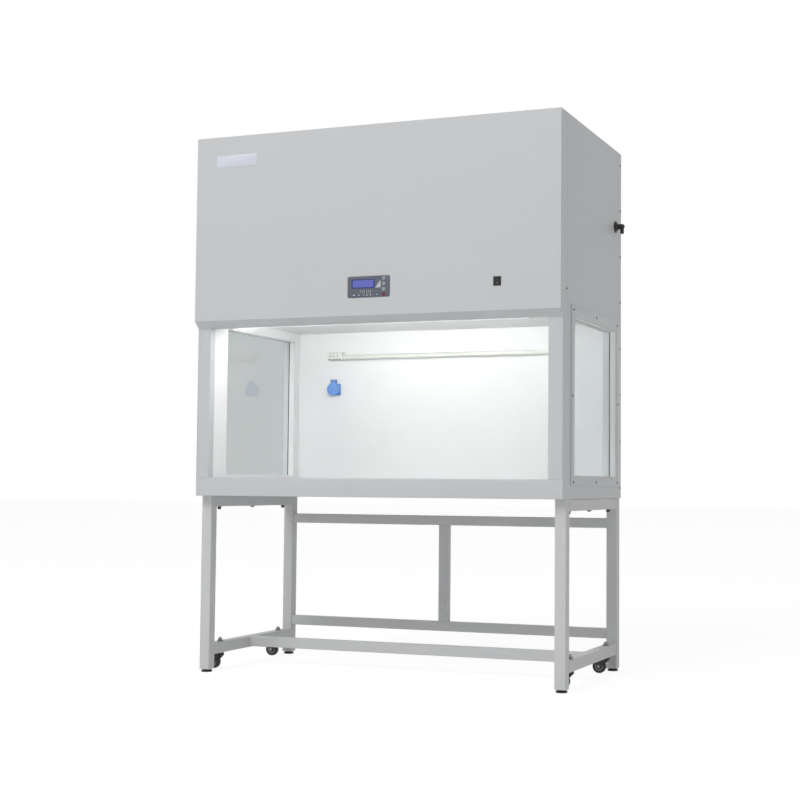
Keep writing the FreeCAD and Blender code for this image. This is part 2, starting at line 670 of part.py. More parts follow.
def castor_wheels():
    wheels = []
    for end, y in CASTOR_PLACES.items():
        for side, sign in SIDES.items():
            name = f"castor_wheel_{end}_{side}"
            at = (f"{sign} * place.stand_mid - size.castor_trail", "place.axle_level")
            half = "size.wheel_width / 2"
            tread = rod(name + "_tread", "y", at, (f"{y} - {half}", f"{y} + {half}"), "size.wheel_radius")
            bore_radius = "size.axle_radius + size.turn_gap"
            span = (f"{y} - {half} - size.overcut", f"{y} + {half} + size.overcut")
            bore = rod(name + "_bore", "y", at, span, bore_radius)
            hollows = []
            near = (f"{y} - {half} - size.overcut", f"{y} - {half} + size.dish_depth")
            far = (f"{y} + {half} - size.dish_depth", f"{y} + {half} + size.overcut")
            for i, dish_y in enumerate((near, far)):
                disc = rod(f"{name}_disc_{i}", "y", at, dish_y, "size.dish_radius")
                boss = rod(f"{name}_boss_{i}", "y", at, dish_y, "size.boss_radius")
                hollows.append(cut(f"{name}_hollow_{i}", disc, boss))
            wheels.append(cut(name, tread, bore, *hollows))
    return wheels


def base_tray():
    """A tray with a shelf round its mouth; its front wall is the apron under the opening."""
    outer = box("tray_outer", ("-place.skin", "place.skin"),
                ("place.front", "place.flange_front - size.sheet"),
                ("size.base_bottom", "place.base_top"))
    inner = box("tray_inner", ("-place.skin + size.sheet", "place.skin - size.sheet"),
                ("place.front + size.sheet", "place.flange_front - 2 * size.sheet"),
                ("size.base_bottom + size.sheet", "place.base_top - size.sheet"))
    mouth = box("tray_mouth", ("-place.wall_in", "place.wall_in"),
                ("place.front + size.sheet", "place.back_wall"),
                ("place.base_top - 2 * size.sheet", "place.base_top + size.overcut"))
    holes = []
    for side, sign in SIDES.items():
        for i, y in enumerate(STAND_BOLT_PLACES):
            span = ("size.base_bottom - size.overcut", "size.base_bottom + size.sheet + size.overcut")
            at = (f"{sign} * place.stand_mid", y)
            holes.append(rod(f"tray_hole_{side}_{i}", "z", at, span, "size.bolt_radius + size.fit_gap"))
    right = screw_holes("tray_screw_hole", bezel_screw_places()[:3])
    left = [mirrored(hole.Name + "_mirror", hole) for hole in right]
    return cut("base_tray", outer, inner, mouth, *holes, *right, *left)


def work_surface():
    """A flush worktop in the tray's mouth, on three ribs that stand in the tray."""
    x = ("-place.wall_in + size.fit_gap", "place.wall_in - size.fit_gap")
    y = ("place.front + size.sheet + size.fit_gap", "place.back_wall - size.fit_gap")
    top = box("worktop", x, y, ("place.base_top - size.sheet", "place.base_top"))
    ribs = []
    for i, share in enumerate(RIB_SHARES):
        centre = f"(({y[0]}) * (1 - {share}) + ({y[1]}) * {share})"
        rib_y = (f"{centre} - size.rib_width / 2", f"{centre} + size.rib_width / 2")
        z = ("size.base_bottom + size.sheet", "place.base_top - size.sheet")
        rib_x = ("-place.stand_in + size.rib_inset", "place.stand_in - size.rib_inset")
        rib = box(f"rib_{i}", rib_x, rib_y, z)
        void_y = (f"{rib_y[0]} + size.sheet", f"{rib_y[1]} - size.sheet")
        void = box(f"rib_void_{i}", (f"{rib_x[0]} - size.overcut", f"{rib_x[1]} + size.overcut"), void_y,
                   (f"{z[0]} - size.overcut", z[1]))
        ribs.append(cut(f"rib_shell_{i}", rib, void))
    return fuse("work_surface", top, *ribs)


def front_columns():
    """Folded channels either side of the opening, open towards the rear."""
    points = (
        ("place.wall_in", "place.front"),
        ("place.skin", "place.front"),
        ("place.skin", "place.front + size.column_depth"),
        ("place.skin - size.sheet", "place.front + size.column_depth"),
        ("place.skin - size.sheet", "place.front + size.sheet"),
        ("place.wall_in + size.sheet", "place.front + size.sheet"),
        ("place.wall_in + size.sheet", "place.front + size.column_depth"),
        ("place.wall_in", "place.front + size.column_depth"),
    )
    length = "size.opening_height"
    return pair("front_columns", outline_body("column", "XY_Plane", "place.base_top", points, length))


def bezel_screw_places():
    """The (y, z) places of the eight screws round one bezel."""
    front = "place.win_front - size.bezel_screw_inset"
    rear = "place.win_rear + size.bezel_rear_screw_inset"
    high = "place.win_top + size.bezel_top_screw_inset"
    low = "place.win_bottom - size.bezel_screw_fall"
    middle_y = "(place.win_front + place.win_rear) / 2"
    middle_z = "(place.win_bottom + place.win_top) / 2"
    first = "place.win_front - size.bezel_corner_inset"
    last = "place.win_rear + size.bezel_end_inset"
    places = [(y, z) for z in (low, high) for y in (first, middle_y, last)]
    return places + [(front, middle_z), (rear, middle_z)]


def rear_screw_places():
    """The (y, z) places of the screws down one rear flange."""
    y = "place.rear - size.rear_screw_inset"
    low = "size.base_bottom + size.rear_screw_bottom"
    pitch = f"(place.top - size.rear_screw_top - ({low})) / {REAR_SCREWS - 1}"
    return [(y, f"{low} + {step} * {pitch}") for step in range(REAR_SCREWS)]


def hood_screw_places():
    return [("place.wrap_rear - size.hood_screw_inset", "place.opening_top + size.hood_screw_rise")]


def screw_holes(name, places):
    """Clearance holes through the right-hand side."""
    holes = []
    for i, (y, z) in enumerate(places):
        span = ("place.skin - size.hole_reach", "place.half + size.hole_reach")
        holes.append(rod(f"{name}_{i}", "x", (y, z), span, "size.screw_radius + size.screw_gap"))
    return holes


def side_skins():
    """Outer side sheets from the base to the top, with the window cut out."""
    split = "place.wrap_rear + size.fit_gap"
    shelf = "place.opening_top - size.fit_gap"
    points = (
        ("place.front", "size.base_bottom"),
        ("place.rear", "size.base_bottom"),
        ("place.rear", "place.top"),
        (split, "place.top"),
        (split, shelf),
        ("place.front", shelf),
    )
    skin = outline_body("skin_sheet", "YZ_Plane", "place.skin", points, "size.sheet")
    window = box("skin_window", ("place.skin - size.overcut", "place.half + size.overcut"),
                 *window_outer("(size.sheet + size.fit_gap)"))
    joggle = box("skin_joggle", ("place.skin - size.sheet", "place.skin"),
                 ("place.wrap_rear - size.joggle_reach", "place.wrap_rear + size.joggle_reach"),
                 ("place.bevel_top + size.joggle_rise", "place.top - 2 * size.sheet"))
    gland_at = ("place.gland_y", "place.gland_z")
    gland_span = ("place.skin - size.overcut", "place.half + size.overcut")
    gland_hole = rod("skin_gland_hole", "x", gland_at, gland_span, "size.gland_radius + size.fit_gap")
    holes = (
        screw_holes("skin_bezel_hole", bezel_screw_places())
        + screw_holes("skin_rear_hole", rear_screw_places())
        + screw_holes("skin_hood_hole", hood_screw_places())
    )
    plain = cut("side_skin_plain", fuse("skin_joined", skin, joggle), window, *holes)
    right = cut("side_skin_right", plain, gland_hole)
    return [right, mirrored("side_skin_left", plain)]


def side_liners():
    """White chamber walls with a collar up to the glass and a ledge that carries the filter."""
    x = ("place.wall_in", "place.wall_in + size.sheet")
    y = ("place.beam_front", "place.back_wall")
    wall = box("liner_wall", x, y, ("place.base_top", "place.ceiling"))
    ledge = box("liner_ledge", ("place.wall_in", "place.filter_out"), y,
                ("place.ceiling - size.sheet", "place.ceiling"))
    reveal = box("liner_reveal", ("place.wall_in", "place.glass_in"),
                 ("place.win_front - size.sheet", "place.win_rear + size.sheet"),
                 ("place.win_bottom - size.sheet", "place.win_top + size.sheet"))
    hole = box("liner_hole", ("place.wall_in - size.overcut", "place.glass_in + size.overcut"),
               ("place.win_front", "place.win_rear"), ("place.win_bottom", "place.win_top"))
    right = cut("side_liner_right", fuse("liner_joined", wall, ledge, reveal), hole)
    return [right, mirrored("side_liner_left", right)]


def window_outer(grow):
    return (
        (f"place.win_front - {grow}", f"place.win_rear + {grow}"),
        (f"place.win_bottom - {grow}", f"place.win_top + {grow}"),
    )


WINDOW = (("place.win_front", "place.win_rear"), ("place.win_bottom", "place.win_top"))


def side_glass():
    return pair("side_glass", box("glass", ("place.glass_in", "place.glass_out"),
                                  *window_outer("size.glass_lap")))


def glass_gaskets():
    outer = window_outer("size.glass_lap")
    return pair("glass_gaskets", ring("gasket", ("place.glass_out", "place.gasket_out"), outer, WINDOW))


def glass_bezels():
    """The screwed frame over each side window, with a collar that holds the glass."""
    outer = (
        ("place.win_front - size.bezel_front_width", "place.win_rear + size.bezel_rear_width"),
        ("place.win_bottom - size.bezel_bottom_width", "place.win_top + size.bezel_top_width"),
    )
    x = ("place.half", "place.half + size.bezel_thick")
    plate = ring("bezel_plate", x, outer, WINDOW)
    collar = ring("bezel_collar", ("place.gasket_out", "place.half"), window_outer("size.sheet"), WINDOW)
    plain = fuse("bezel_plain", plate, collar)
    right = cut("bezel", plain, *screw_holes("bezel_hole", bezel_screw_places()))
    return pair("glass_bezels", right)


def panel_screws():
    """All the pan-head screws on both sides."""
    right = []
    rows = (
        ("bezel_screw", bezel_screw_places(), "place.half + size.bezel_thick"),
        ("rear_screw", rear_screw_places(), "place.half"),
        ("hood_screw", hood_screw_places(), "place.half"),
    )
    for kind, places, face in rows:
        for i, (y, z) in enumerate(places):
            name = f"{kind}_{i}"
            head_x = (face, f"{face} + size.screw_head_height")
            head = rod(name + "_head", "x", (y, z), head_x, "size.screw_head_radius")
            shank_x = ("place.skin - size.screw_tail", face)
            shank = rod(name + "_shank", "x", (y, z), shank_x, "size.screw_radius")
            right.append(fuse(name, head, shank))
    left = [mirrored(screw.Name + "_mirror", screw) for screw in right]
    return group("panel_screws", *right, *left)


def rear_liner():
    """White chamber back wall with a ledge behind it for the filter."""
    x = ("-place.wall_in", "place.wall_in")
    wall = box("back_sheet", x, ("place.back_wall", "place.back_wall + size.sheet"),
               ("place.base_top", "place.ceiling"))
    ledge = box("back_ledge", x, ("place.back_wall", "place.filter_rear"),
                ("place.ceiling - size.sheet", "place.ceiling"))
    at = ("place.socket_x", "place.socket_z")
    span = ("place.back_wall - size.overcut", "place.back_wall + size.sheet + size.overcut")
    hole = rod("back_socket_hole", "y", at, span, "size.socket_barrel_radius")
    return cut("rear_liner", fuse("back_joined", wall, ledge), hole)


def rear_panel():
    """Full-height back cover with a flange inside each side skin."""
    out = "place.skin"
    deep = "place.rear - size.sheet"
    points = (
        (f"-{out}", "place.flange_front"),
        (f"-{out} + size.sheet", "place.flange_front"),
        (f"-{out} + size.sheet", deep),
        (f"{out} - size.sheet", deep),
        (f"{out} - size.sheet", "place.flange_front"),
        (out, "place.flange_front"),
        (out, "place.rear"),
        (f"-{out}", "place.rear"),
    )
    length = "place.top - size.sheet - size.base_bottom"
    body = outline_body("rear_sheet", "XY_Plane", "size.base_bottom", points, length)
    right = screw_holes("rear_panel_hole", rear_screw_places())
    left = [mirrored(hole.Name + "_mirror", hole) for hole in right]
    return cut("rear_panel", body, *right, *left)


def hood_cover():
    """Front cover: face, bevel and lip in one sheet, with a cheek round each side."""
    face_in = "place.hood_face + size.sheet"
    lip_top = "place.opening_top + size.sheet"
    lip_rear = "place.front + size.lip_depth"
    roof = "place.top - size.sheet"
    profile = (
        ("place.front", "place.opening_top"),
        (lip_rear, "place.opening_top"),
        (lip_rear, lip_top),
        ("place.front + size.sheet / 2", lip_top),
        (face_in, "place.bevel_top + size.sheet / 2"),
        (face_in, roof),
        ("place.wrap_rear", roof),
        ("place.wrap_rear", "place.top"),
        ("place.hood_face", "place.top"),
        ("place.hood_face", "place.bevel_top"),
    )
    cheek = (
        ("place.front", "place.opening_top"),
        ("place.wrap_rear", "place.opening_top"),
        ("place.wrap_rear", "place.top"),
        ("place.hood_face", "place.top"),
        ("place.hood_face", "place.bevel_top"),
    )
    body = outline_body("hood_sheet", "YZ_Plane", "-place.half", cheek, "size.sheet")
    add_outline(body, "YZ_Plane", "-place.half", profile, "size.width")
    add_outline(body, "YZ_Plane", "place.skin", cheek, "size.sheet")
    through = ("place.hood_face - size.overcut", f"{face_in} + size.overcut")
    panel_x = ("place.panel_left + size.mouth_side_lap", "place.panel_right - size.mouth_side_lap")
    panel_z = (f"{key_level(0)} - size.key_radius - size.mouth_key_gap",
               "place.panel_top - size.mouth_top_lap")
    mouth = box("hood_panel_mouth", panel_x, through, panel_z)
    rim = "-size.rocker_rim"
    rocker_mouth = box("hood_rocker_mouth", rocker_case_x(rim), through, rocker_case_z(rim))
    holes = screw_holes("hood_hole", hood_screw_places())
    holes += [mirrored(hole.Name + "_mirror", hole) for hole in holes]
    return cut("hood_cover", body, mouth, rocker_mouth, *holes)


def intake_places():
    return [("left", "-place.blower_x"), ("right", "place.blower_x")]


def top_panel():
    sheet = box("roof", ("-place.skin", "place.skin"), ("place.wrap_rear + size.fit_gap", "place.rear"),
                ("place.top - size.sheet", "place.top"))
    holes = []
    for side, x in intake_places():
        half = "size.intake_size / 2"
        holes.append(box(f"intake_{side}", (f"{x} - {half}", f"{x} + {half}"),
                         (f"place.blower_y - {half}", f"place.blower_y + {half}"),
                         ("place.top - size.sheet - size.overcut", "place.top + size.overcut")))
    return cut("top_panel", sheet, *holes)


def prefilters():
    """Framed fleece under each intake."""
    frames = []
    for side, x in intake_places():
        half = "(size.intake_size / 2 + size.prefilter_lap)"
        z = ("place.top - size.sheet - size.prefilter_height", "place.top - size.sheet")
        y = (f"place.blower_y - {half}", f"place.blower_y + {half}")
        frames.append(box(f"prefilter_{side}", (f"{x} - {half}", f"{x} + {half}"), y, z))
    return group("prefilters", *frames)


def front_beam():
    """Cross beam between the side skins that carries the filter front and the lamp."""
    x = ("-place.wall_in", "place.wall_in")
    y = ("place.beam_front", "place.beam_front + size.beam_depth")
    z = ("place.ceiling - size.beam_height", "place.ceiling")
    bar = box("beam_bar", x, y, z)
    void = box("beam_void", (f"{x[0]} - size.overcut", f"{x[1]} + size.overcut"),
               (f"{y[0]} + size.sheet", f"{y[1]} - size.sheet"),
               (f"{z[0]} + size.sheet", f"{z[1]} - size.sheet"))
    return cut("front_beam", bar, void)


def filter_spans(inset):
    return (
        (f"-place.filter_out + {inset}", f"place.filter_out - {inset}"),
        (f"place.filter_front + {inset}", f"place.filter_rear - {inset}"),
    )


def filter_frame():
    outer = box("filter_outer", *filter_spans("0"), ("place.ceiling", "place.filter_top"))
    inner = box("filter_inner", *filter_spans("size.filter_wall"),
                ("place.ceiling - size.overcut", "place.filter_top + size.overcut"))
    return cut("filter_frame", outer, inner)


def filter_pack():
    """The pleated fine filter pack, sealed in its frame."""
    pack = box("filter_block", *filter_spans("size.filter_wall"),
               ("place.ceiling + size.pack_inset", "place.filter_top - size.pack_inset"))
    return group("filter_pack", pack)


def diffuser():
    """Perforated sheet that closes the chamber under the filter."""
    y = ("place.beam_front + size.beam_depth", "place.back_wall")
    inner = ("place.ceiling - 2 * size.sheet", "place.ceiling - size.sheet")
    sheet = box("diffuser_sheet", ("-place.wall_in", "place.wall_in"), y, inner)
    edges = []
    for side, sign in SIDES.items():
        near = "place.wall_in - size.diffuser_edge"
        x = (near, "place.wall_in") if sign > 0 else ("-place.wall_in", f"-({near})")
        edges.append(box(f"diffuser_edge_{side}", x, y, (inner[1], "place.ceiling")))
    return fuse("diffuser", sheet, *edges)


def outlet_spans(x, inset="0"):
    half = "size.blower_width / 2"
    return (
        (f"{x} - {half} + {inset}", f"{x} + {half} - {inset}"),
        (f"place.blower_y + size.outlet_offset + {inset}",
         f"place.blower_y + place.scroll_radius - {inset}"),
    )


def plenum_deck():
    """Inverted tray over the filter; the blowers stand on it."""
    outer = box("deck_outer", *filter_spans("0"), ("place.filter_top", "place.deck_top"))
    inner = box("deck_inner", *filter_spans("size.sheet"),
                ("place.filter_top - size.overcut", "place.deck_top - size.sheet"))
    port_z = ("place.deck_top - size.sheet - size.overcut", "place.deck_top + size.overcut")
    ports = [box(f"deck_port_{side}", *outlet_spans(x, "size.sheet"), port_z)
             for side, x in intake_places()]
    return cut("plenum_deck", outer, inner, *ports)


def blower_housings():
    """Scroll casings with a round inlet on each side and an outlet down to the deck."""
    housings = []
    for side, x in intake_places():
        name = f"scroll_{side}"
        at = ("place.blower_y", "place.blower_z")
        half = "size.blower_width / 2"
        drum_x = (f"{x} - {half}", f"{x} + {half}")
        drum = rod(name + "_drum", "x", at, drum_x, "place.scroll_radius")
        duct = box(name + "_duct", *outlet_spans(x), ("place.deck_top", "place.blower_z"))
        void_x = (f"{x} - {half} + size.sheet", f"{x} + {half} - size.sheet")
        drum_void = rod(name + "_drum_void", "x", at, void_x, "place.scroll_radius - size.sheet")
        duct_void = box(name + "_duct_void", *outlet_spans(x, "size.sheet"),
                        ("place.deck_top - size.overcut", "place.blower_z"))
        inlet_x = (f"{x} - {half} - size.overcut", f"{x} + {half} + size.overcut")
        inlet = rod(name + "_inlet", "x", at, inlet_x,
                    "place.impeller_radius - size.blade_depth - size.inlet_lap")
        shell = fuse(name + "_shell", drum, duct)
        void = fuse(name + "_void", drum_void, duct_void, inlet)
        housings.append(cut(name, shell, void))
    return group("blower_housings", *housings)


def blower_wheels():
    """Forward-curved wheels: a middle disc, two end rings and blades on a shaft."""
    wheels = []
    for side, x in intake_places():
        name = f"blower_wheel_{side}"
        inward = 1 if side == "left" else -1
        at = ("place.blower_y", "place.blower_z")
        half = "size.impeller_width / 2"
        disc_x = (f"{x} - size.rim_width / 2", f"{x} + size.rim_width / 2")
        disc = rod(name + "_disc", "x", at, disc_x, "place.impeller_radius")
        parts = [disc]
        for i, (low, high) in enumerate(((f"{x} - {half}", f"{x} - {half} + size.rim_width"),
                                         (f"{x} + {half} - size.rim_width", f"{x} + {half}"))):
            rim = rod(f"{name}_rim_{i}", "x", at, (low, high), "place.impeller_radius")
            eye = rod(f"{name}_eye_{i}", "x", at, (f"{low} - size.overcut", f"{high} + size.overcut"),
                      "place.impeller_radius - size.blade_depth - size.ring_lap")
            parts.append(cut(f"{name}_ring_{i}", rim, eye))
        parts.append(blower_blades(name, x, half))
        reach = "(size.blower_width / 2 + size.shaft_reach)"
        tip = "(size.impeller_width / 2)"
        far = (x, f"{x} + {reach}") if inward > 0 else (f"{x} - {reach}", x)
        near = (f"{x} - {tip}", x) if inward > 0 else (x, f"{x} + {tip}")
        parts.append(rod(name + "_shaft", "x", at, far, "size.shaft_radius"))
        parts.append(rod(name + "_stub", "x", at, near, "size.shaft_radius"))
        wheels.append(fuse(name, *parts))
    return wheels


def blower_blades(name, x, half):
    """One blade, then a ring of copies about the shaft."""
    body = doc.addObject("PartDesign::Body", name + "_blades")
    blade = body.newObject("PartDesign::AdditiveBox", name + "_blade")
    bind(blade, "Length", "size.impeller_width")
    bind(blade, "Width", "size.sheet")
    bind(blade, "Height", "size.blade_depth")
    low = "place.blower_z + place.impeller_radius - size.blade_depth - size.sheet"
    put(blade, f"({x}) - {half}", "place.blower_y", low)
    doc.recompute()
    axis = body.newObject("PartDesign::Line", name + "_axis")
    axis.Placement = Placement(Vector(), TURN["x"])
    put(axis, x, "place.blower_y", "place.blower_z")
    turns = body.newObject("PartDesign::PolarPattern", name + "_turns")
    turns.Originals = [blade]
    turns.Axis = (axis, [""])
    turns.Angle = 360
    bind(turns, "Occurrences", "size.blade_count")
    body.Tip = turns
    return body


def blower_motors():
    """A motor beside each scroll, on a bar across its inlet."""
    motors = []
    for side, x in intake_places():
        name = f"motor_{side}"
        at = ("place.blower_y", "place.blower_z")
        half = "size.blower_width / 2"
        if side == "left":
            face = f"{x} + {half}"
            bar_x = (face, f"{face} + size.motor_bar_thick")
            can_x = (bar_x[1], f"{bar_x[1]} + size.motor_length")
        else:
            face = f"{x} - {half}"
            bar_x = (f"{face} - size.motor_bar_thick", face)
            can_x = (f"{bar_x[0]} - size.motor_length", bar_x[0])
        can = rod(name + "_can", "x", at, can_x, "place.motor_radius")
        reach = "(place.scroll_radius - size.motor_bar_inset)"
        half_bar = "size.motor_bar_width / 2"
        bar = box(name + "_bar", bar_x,
                  (f"place.blower_y - {half_bar}", f"place.blower_y + {half_bar}"),
                  (f"place.blower_z - {reach}", f"place.blower_z + {reach}"))
        low, high = sorted((can_x, bar_x), key=lambda span: value_of(span[0]))
        span = (f"{low[0]} - size.overcut", f"{high[1]} + size.overcut")
        bore = rod(name + "_bore", "x", at, span, "size.shaft_radius + size.turn_gap")
        motors.append(cut(name, fuse(name + "_case", can, bar), bore))
    return group("blower_motors", *motors)


def lamp_holders():
    """Two holders under the cross beam and two on the back wall."""
    holders = []
    for side, sign in SIDES.items():
        end = "size.lamp_length / 2"
        far = f"{end} + size.lamp_holder_length"
        x = (end, far) if sign > 0 else (f"-({far})", f"-{end}")
        y = ("place.lamp_y - size.lamp_radius", "place.lamp_y + size.lamp_radius")
        z = ("place.opening_top + size.lamp_clearance", "place.ceiling - size.beam_height")
        holders.append(box(f"lamp_holder_{side}", x, y, z))
        start = "size.uv_half_length"
        far = f"{start} + size.uv_holder_length"
        x = (start, far) if sign > 0 else (f"-({far})", f"-{start}")
        y = ("place.uv_y - size.uv_holder_front", "place.back_wall")
        middle = "(place.uv_z + size.uv_holder_rise)"
        z = (f"{middle} - size.uv_holder_height / 2", f"{middle} + size.uv_holder_height / 2")
        holders.append(box(f"uv_holder_{side}", x, y, z))
    return group("lamp_holders", *holders)


def lamp_tube():
    end = "size.lamp_length / 2"
    tube_rod = rod("lamp", "x", ("place.lamp_y", "place.lamp_z"), (f"-{end}", end), "size.lamp_radius")
    return group("lamp_tube", tube_rod)


def uv_tube():
    end = "size.uv_half_length"
    tube_rod = rod("uv_lamp", "x", ("place.uv_y", "place.uv_z"), (f"-{end}", end), "size.uv_radius")
    return group("uv_tube", tube_rod)


def key_level(step):
    return f"place.panel_bottom + size.key_first + {step} * size.key_pitch"


KEY_NAMES = ("key_power", "key_lamp", "key_uv", "key_fan")


def display_spans(grow="0"):
    left = "(place.panel_left + size.display_inset)"
    low = "(place.panel_bottom + size.display_bottom_inset)"
    x = (f"{left} - {grow}", f"{left} + size.display_width + {grow}")
    return x, (f"{low} - {grow}", f"{low} + size.display_height + {grow}")


def control_panel():
    """The plate on the hood face, with holes for the display and the keys."""
    plate = box("panel_plate", ("place.panel_left", "place.panel_right"),
                ("place.panel_face", "place.hood_face"), ("place.panel_bottom", "place.panel_top"))
    x, z = display_spans("size.fit_gap")
    span = ("place.panel_face - size.overcut", "place.hood_face + size.overcut")
    holes = [box("panel_window", x, span, z)]
    for step, name in enumerate(KEY_NAMES):
        at = ("place.key_x", key_level(step))
        holes.append(rod(f"{name}_hole", "y", at, span, "size.key_radius + size.key_gap"))
    return cut("control_panel", plate, *holes)


def display():
    x, z = display_spans()
    y = ("place.panel_face + size.fit_gap", "place.board_face")
    return group("display", box("display_block", x, y, z))


def keys():
    made = []
    for step, name in enumerate(KEY_NAMES):
        at = ("place.key_x", key_level(step))
        span = ("place.panel_face - size.key_proud", "place.board_face - size.key_travel - size.key_reserve")
        made.append(rod(name, "y", at, span, "size.key_radius"))
    return made


def control_board():
    """Circuit board on four posts behind the hood face."""
    x = ("place.panel_left - size.board_lap", "place.panel_right + size.board_lap")
    z = ("place.panel_bottom - size.board_lap", "place.panel_top + size.board_lap")
    back = "place.board_face + size.board_thick"
    board = box("board", x, ("place.board_face", back), z)
    posts = []
    inset = "size.board_lap / 2"
    for i, post_x in enumerate((f"{x[0]} + {inset}", f"{x[1]} - {inset}")):
        for j, post_z in enumerate((f"{z[0]} + {inset}", f"{z[1]} - {inset}")):
            span = ("place.hood_inner", "place.board_face")
            posts.append(rod(f"post_{i}{j}", "y", (post_x, post_z), span, "size.board_post_radius"))
    half_x = "size.board_block_width / 2"
    half_z = "size.board_block_height / 2"
    middle_z = "(place.panel_bottom + place.panel_top) / 2"
    block = box("board_relay", (f"size.panel_offset - {half_x}", f"size.panel_offset + {half_x}"),
                (back, f"{back} + size.board_block_depth"),
                (f"{middle_z} - {half_z}", f"{middle_z} + {half_z}"))
    return fuse("control_board", board, block, *posts)


def rocker_case_x(grow="0"):
    half = f"(size.rocker_case_width / 2 + {grow})"
    return f"place.rocker_x - {half}", f"place.rocker_x + {half}"


def rocker_case_z(grow="0"):
    half = f"(size.rocker_case_height / 2 + {grow})"
    return f"place.rocker_z - {half}", f"place.rocker_z + {half}"


def rocker_case():
    """Mains switch case: a rim outside the hood, a body behind it and a well for the rocker."""
    rim_y = ("place.hood_face - size.rocker_rim", "place.hood_face")
    rim = box("rocker_rim", rocker_case_x(), rim_y, rocker_case_z())
    inner = "-size.rocker_rim - size.fit_gap"
    body_y = ("place.hood_face", "place.hood_face + size.rocker_case_depth")
    body = box("rocker_body", rocker_case_x(inner), body_y, rocker_case_z(inner))
    well_half = "(size.rocker_width / 2 + size.fit_gap)"
    well_x = (f"place.rocker_x - {well_half}", f"place.rocker_x + {well_half}")
    tall = "(size.rocker_height / 2 + size.rocker_clearance)"
    well_z = (f"place.rocker_z - {tall}", f"place.rocker_z + {tall}")
    well_y = (f"{rim_y[0]} - size.overcut", "place.hood_face + size.rocker_well_depth")
    well = box("rocker_well", well_x, well_y, well_z)
    return cut("rocker_case", fuse("rocker_case_solid", rim, body), well)


def rocker():
    """Rocker drawn about its pin and tipped to its off stop."""
    half_z = "size.rocker_height / 2"
    x = ("-size.rocker_width / 2", "size.rocker_width / 2")
    block = box("rocker_block", x, ("-size.rocker_front", "size.rocker_back"), (f"-{half_z}", half_z))
    drum = rod("rocker_drum", "x", ("0", "0"), x, "size.rocker_front")
    tipped = fuse("rocker_tipped", block, drum)
    bind(tipped, "Placement.Rotation.Axis.x", "1")
    bind(tipped, "Placement.Rotation.Axis.z", "0")
    bind(tipped, "Placement.Rotation.Angle", "size.rocker_tip")
    put(tipped, "place.rocker_x", "place.hood_face + size.rocker_rim", "place.rocker_z")
    return group("rocker", tipped)


def badge_plate():
    half_x = "size.badge_width / 2"
    half_z = "size.badge_height / 2"
    plate = box("badge", (f"place.badge_x - {half_x}", f"place.badge_x + {half_x}"),
                ("place.hood_face - size.badge_thick", "place.hood_face"),
                (f"place.badge_z - {half_z}", f"place.badge_z + {half_z}"))
    return group("badge_plate", plate)


def socket_body():
    """Flanged mains socket with a barrel through the back wall, hinge ears and a pin."""
    half = "size.socket_size / 2"
    x = (f"place.socket_x - {half}", f"place.socket_x + {half}")
    z = (f"place.socket_z - {half}", "place.socket_top")
    flange = box("socket_flange", x, ("place.back_wall - size.socket_flange_thick", "place.back_wall"), z)
    at = ("place.socket_x", "place.socket_z")
    barrel_y = ("place.flap_rear + size.fit_gap", "place.back_wall + size.socket_barrel_depth")
    barrel = rod("socket_barrel", "y", at, barrel_y, "size.socket_barrel_radius - size.fit_gap")
    ears = []
    outer, inner = "size.socket_ear_outer", "size.socket_ear_inner"
    round_pin = "(size.hinge_pin_radius + size.hinge_wall)"
    for i, (low, high) in enumerate(((f"-{outer}", f"-{inner}"), (inner, outer))):
        ear_x = (f"place.socket_x + {low}", f"place.socket_x + {high}")
        ear_y = ("place.flap_rear + size.fit_gap", "place.flap_rear + size.socket_ear_depth")
        ear_z = ("place.pin_z - size.socket_ear_root", f"place.pin_z + {round_pin}")
        ears.append(box(f"socket_ear_{i}", ear_x, ear_y, ear_z))
        ears.append(rod(f"socket_eye_{i}", "x", ("place.flap_rear", "place.pin_z"), ear_x, round_pin))
    pin_at = ("place.flap_rear", "place.pin_z")
    pin_x = (f"place.socket_x - {outer}", f"place.socket_x + {outer}")
    pin = rod("socket_pin", "x", pin_at, pin_x, "size.hinge_pin_radius")
    mouth_y = ("place.flap_rear - size.overcut", "place.flap_rear + size.socket_mouth_depth")
    mouth = rod("socket_mouth", "y", at, mouth_y, "size.socket_barrel_radius - size.socket_wall")
    return cut("socket_body", fuse("socket_joined", flange, barrel, pin, *ears), mouth)


def socket_flap():
    """Sprung round lid with a knuckle on the pin."""
    y = ("place.flap_rear - size.flap_thick", "place.flap_rear")
    lid = rod("flap_lid", "y", ("place.socket_x", "place.socket_z"), y, "size.flap_radius")
    reach = "(size.socket_ear_inner - size.fit_gap)"
    span = (f"place.socket_x - {reach}", f"place.socket_x + {reach}")
    arm = box("flap_arm", span, y, ("place.socket_z", "place.pin_z"))
    pin_at = ("place.flap_rear", "place.pin_z")
    knuckle = rod("flap_knuckle", "x", pin_at, span, "size.hinge_pin_radius + size.hinge_wall")
    bore = rod("flap_bore", "x", pin_at, (f"{span[0]} - size.overcut", f"{span[1]} + size.overcut"),
               "size.hinge_pin_radius + size.turn_gap")
    return cut("socket_flap", fuse("flap_joined", lid, arm, knuckle), bore)


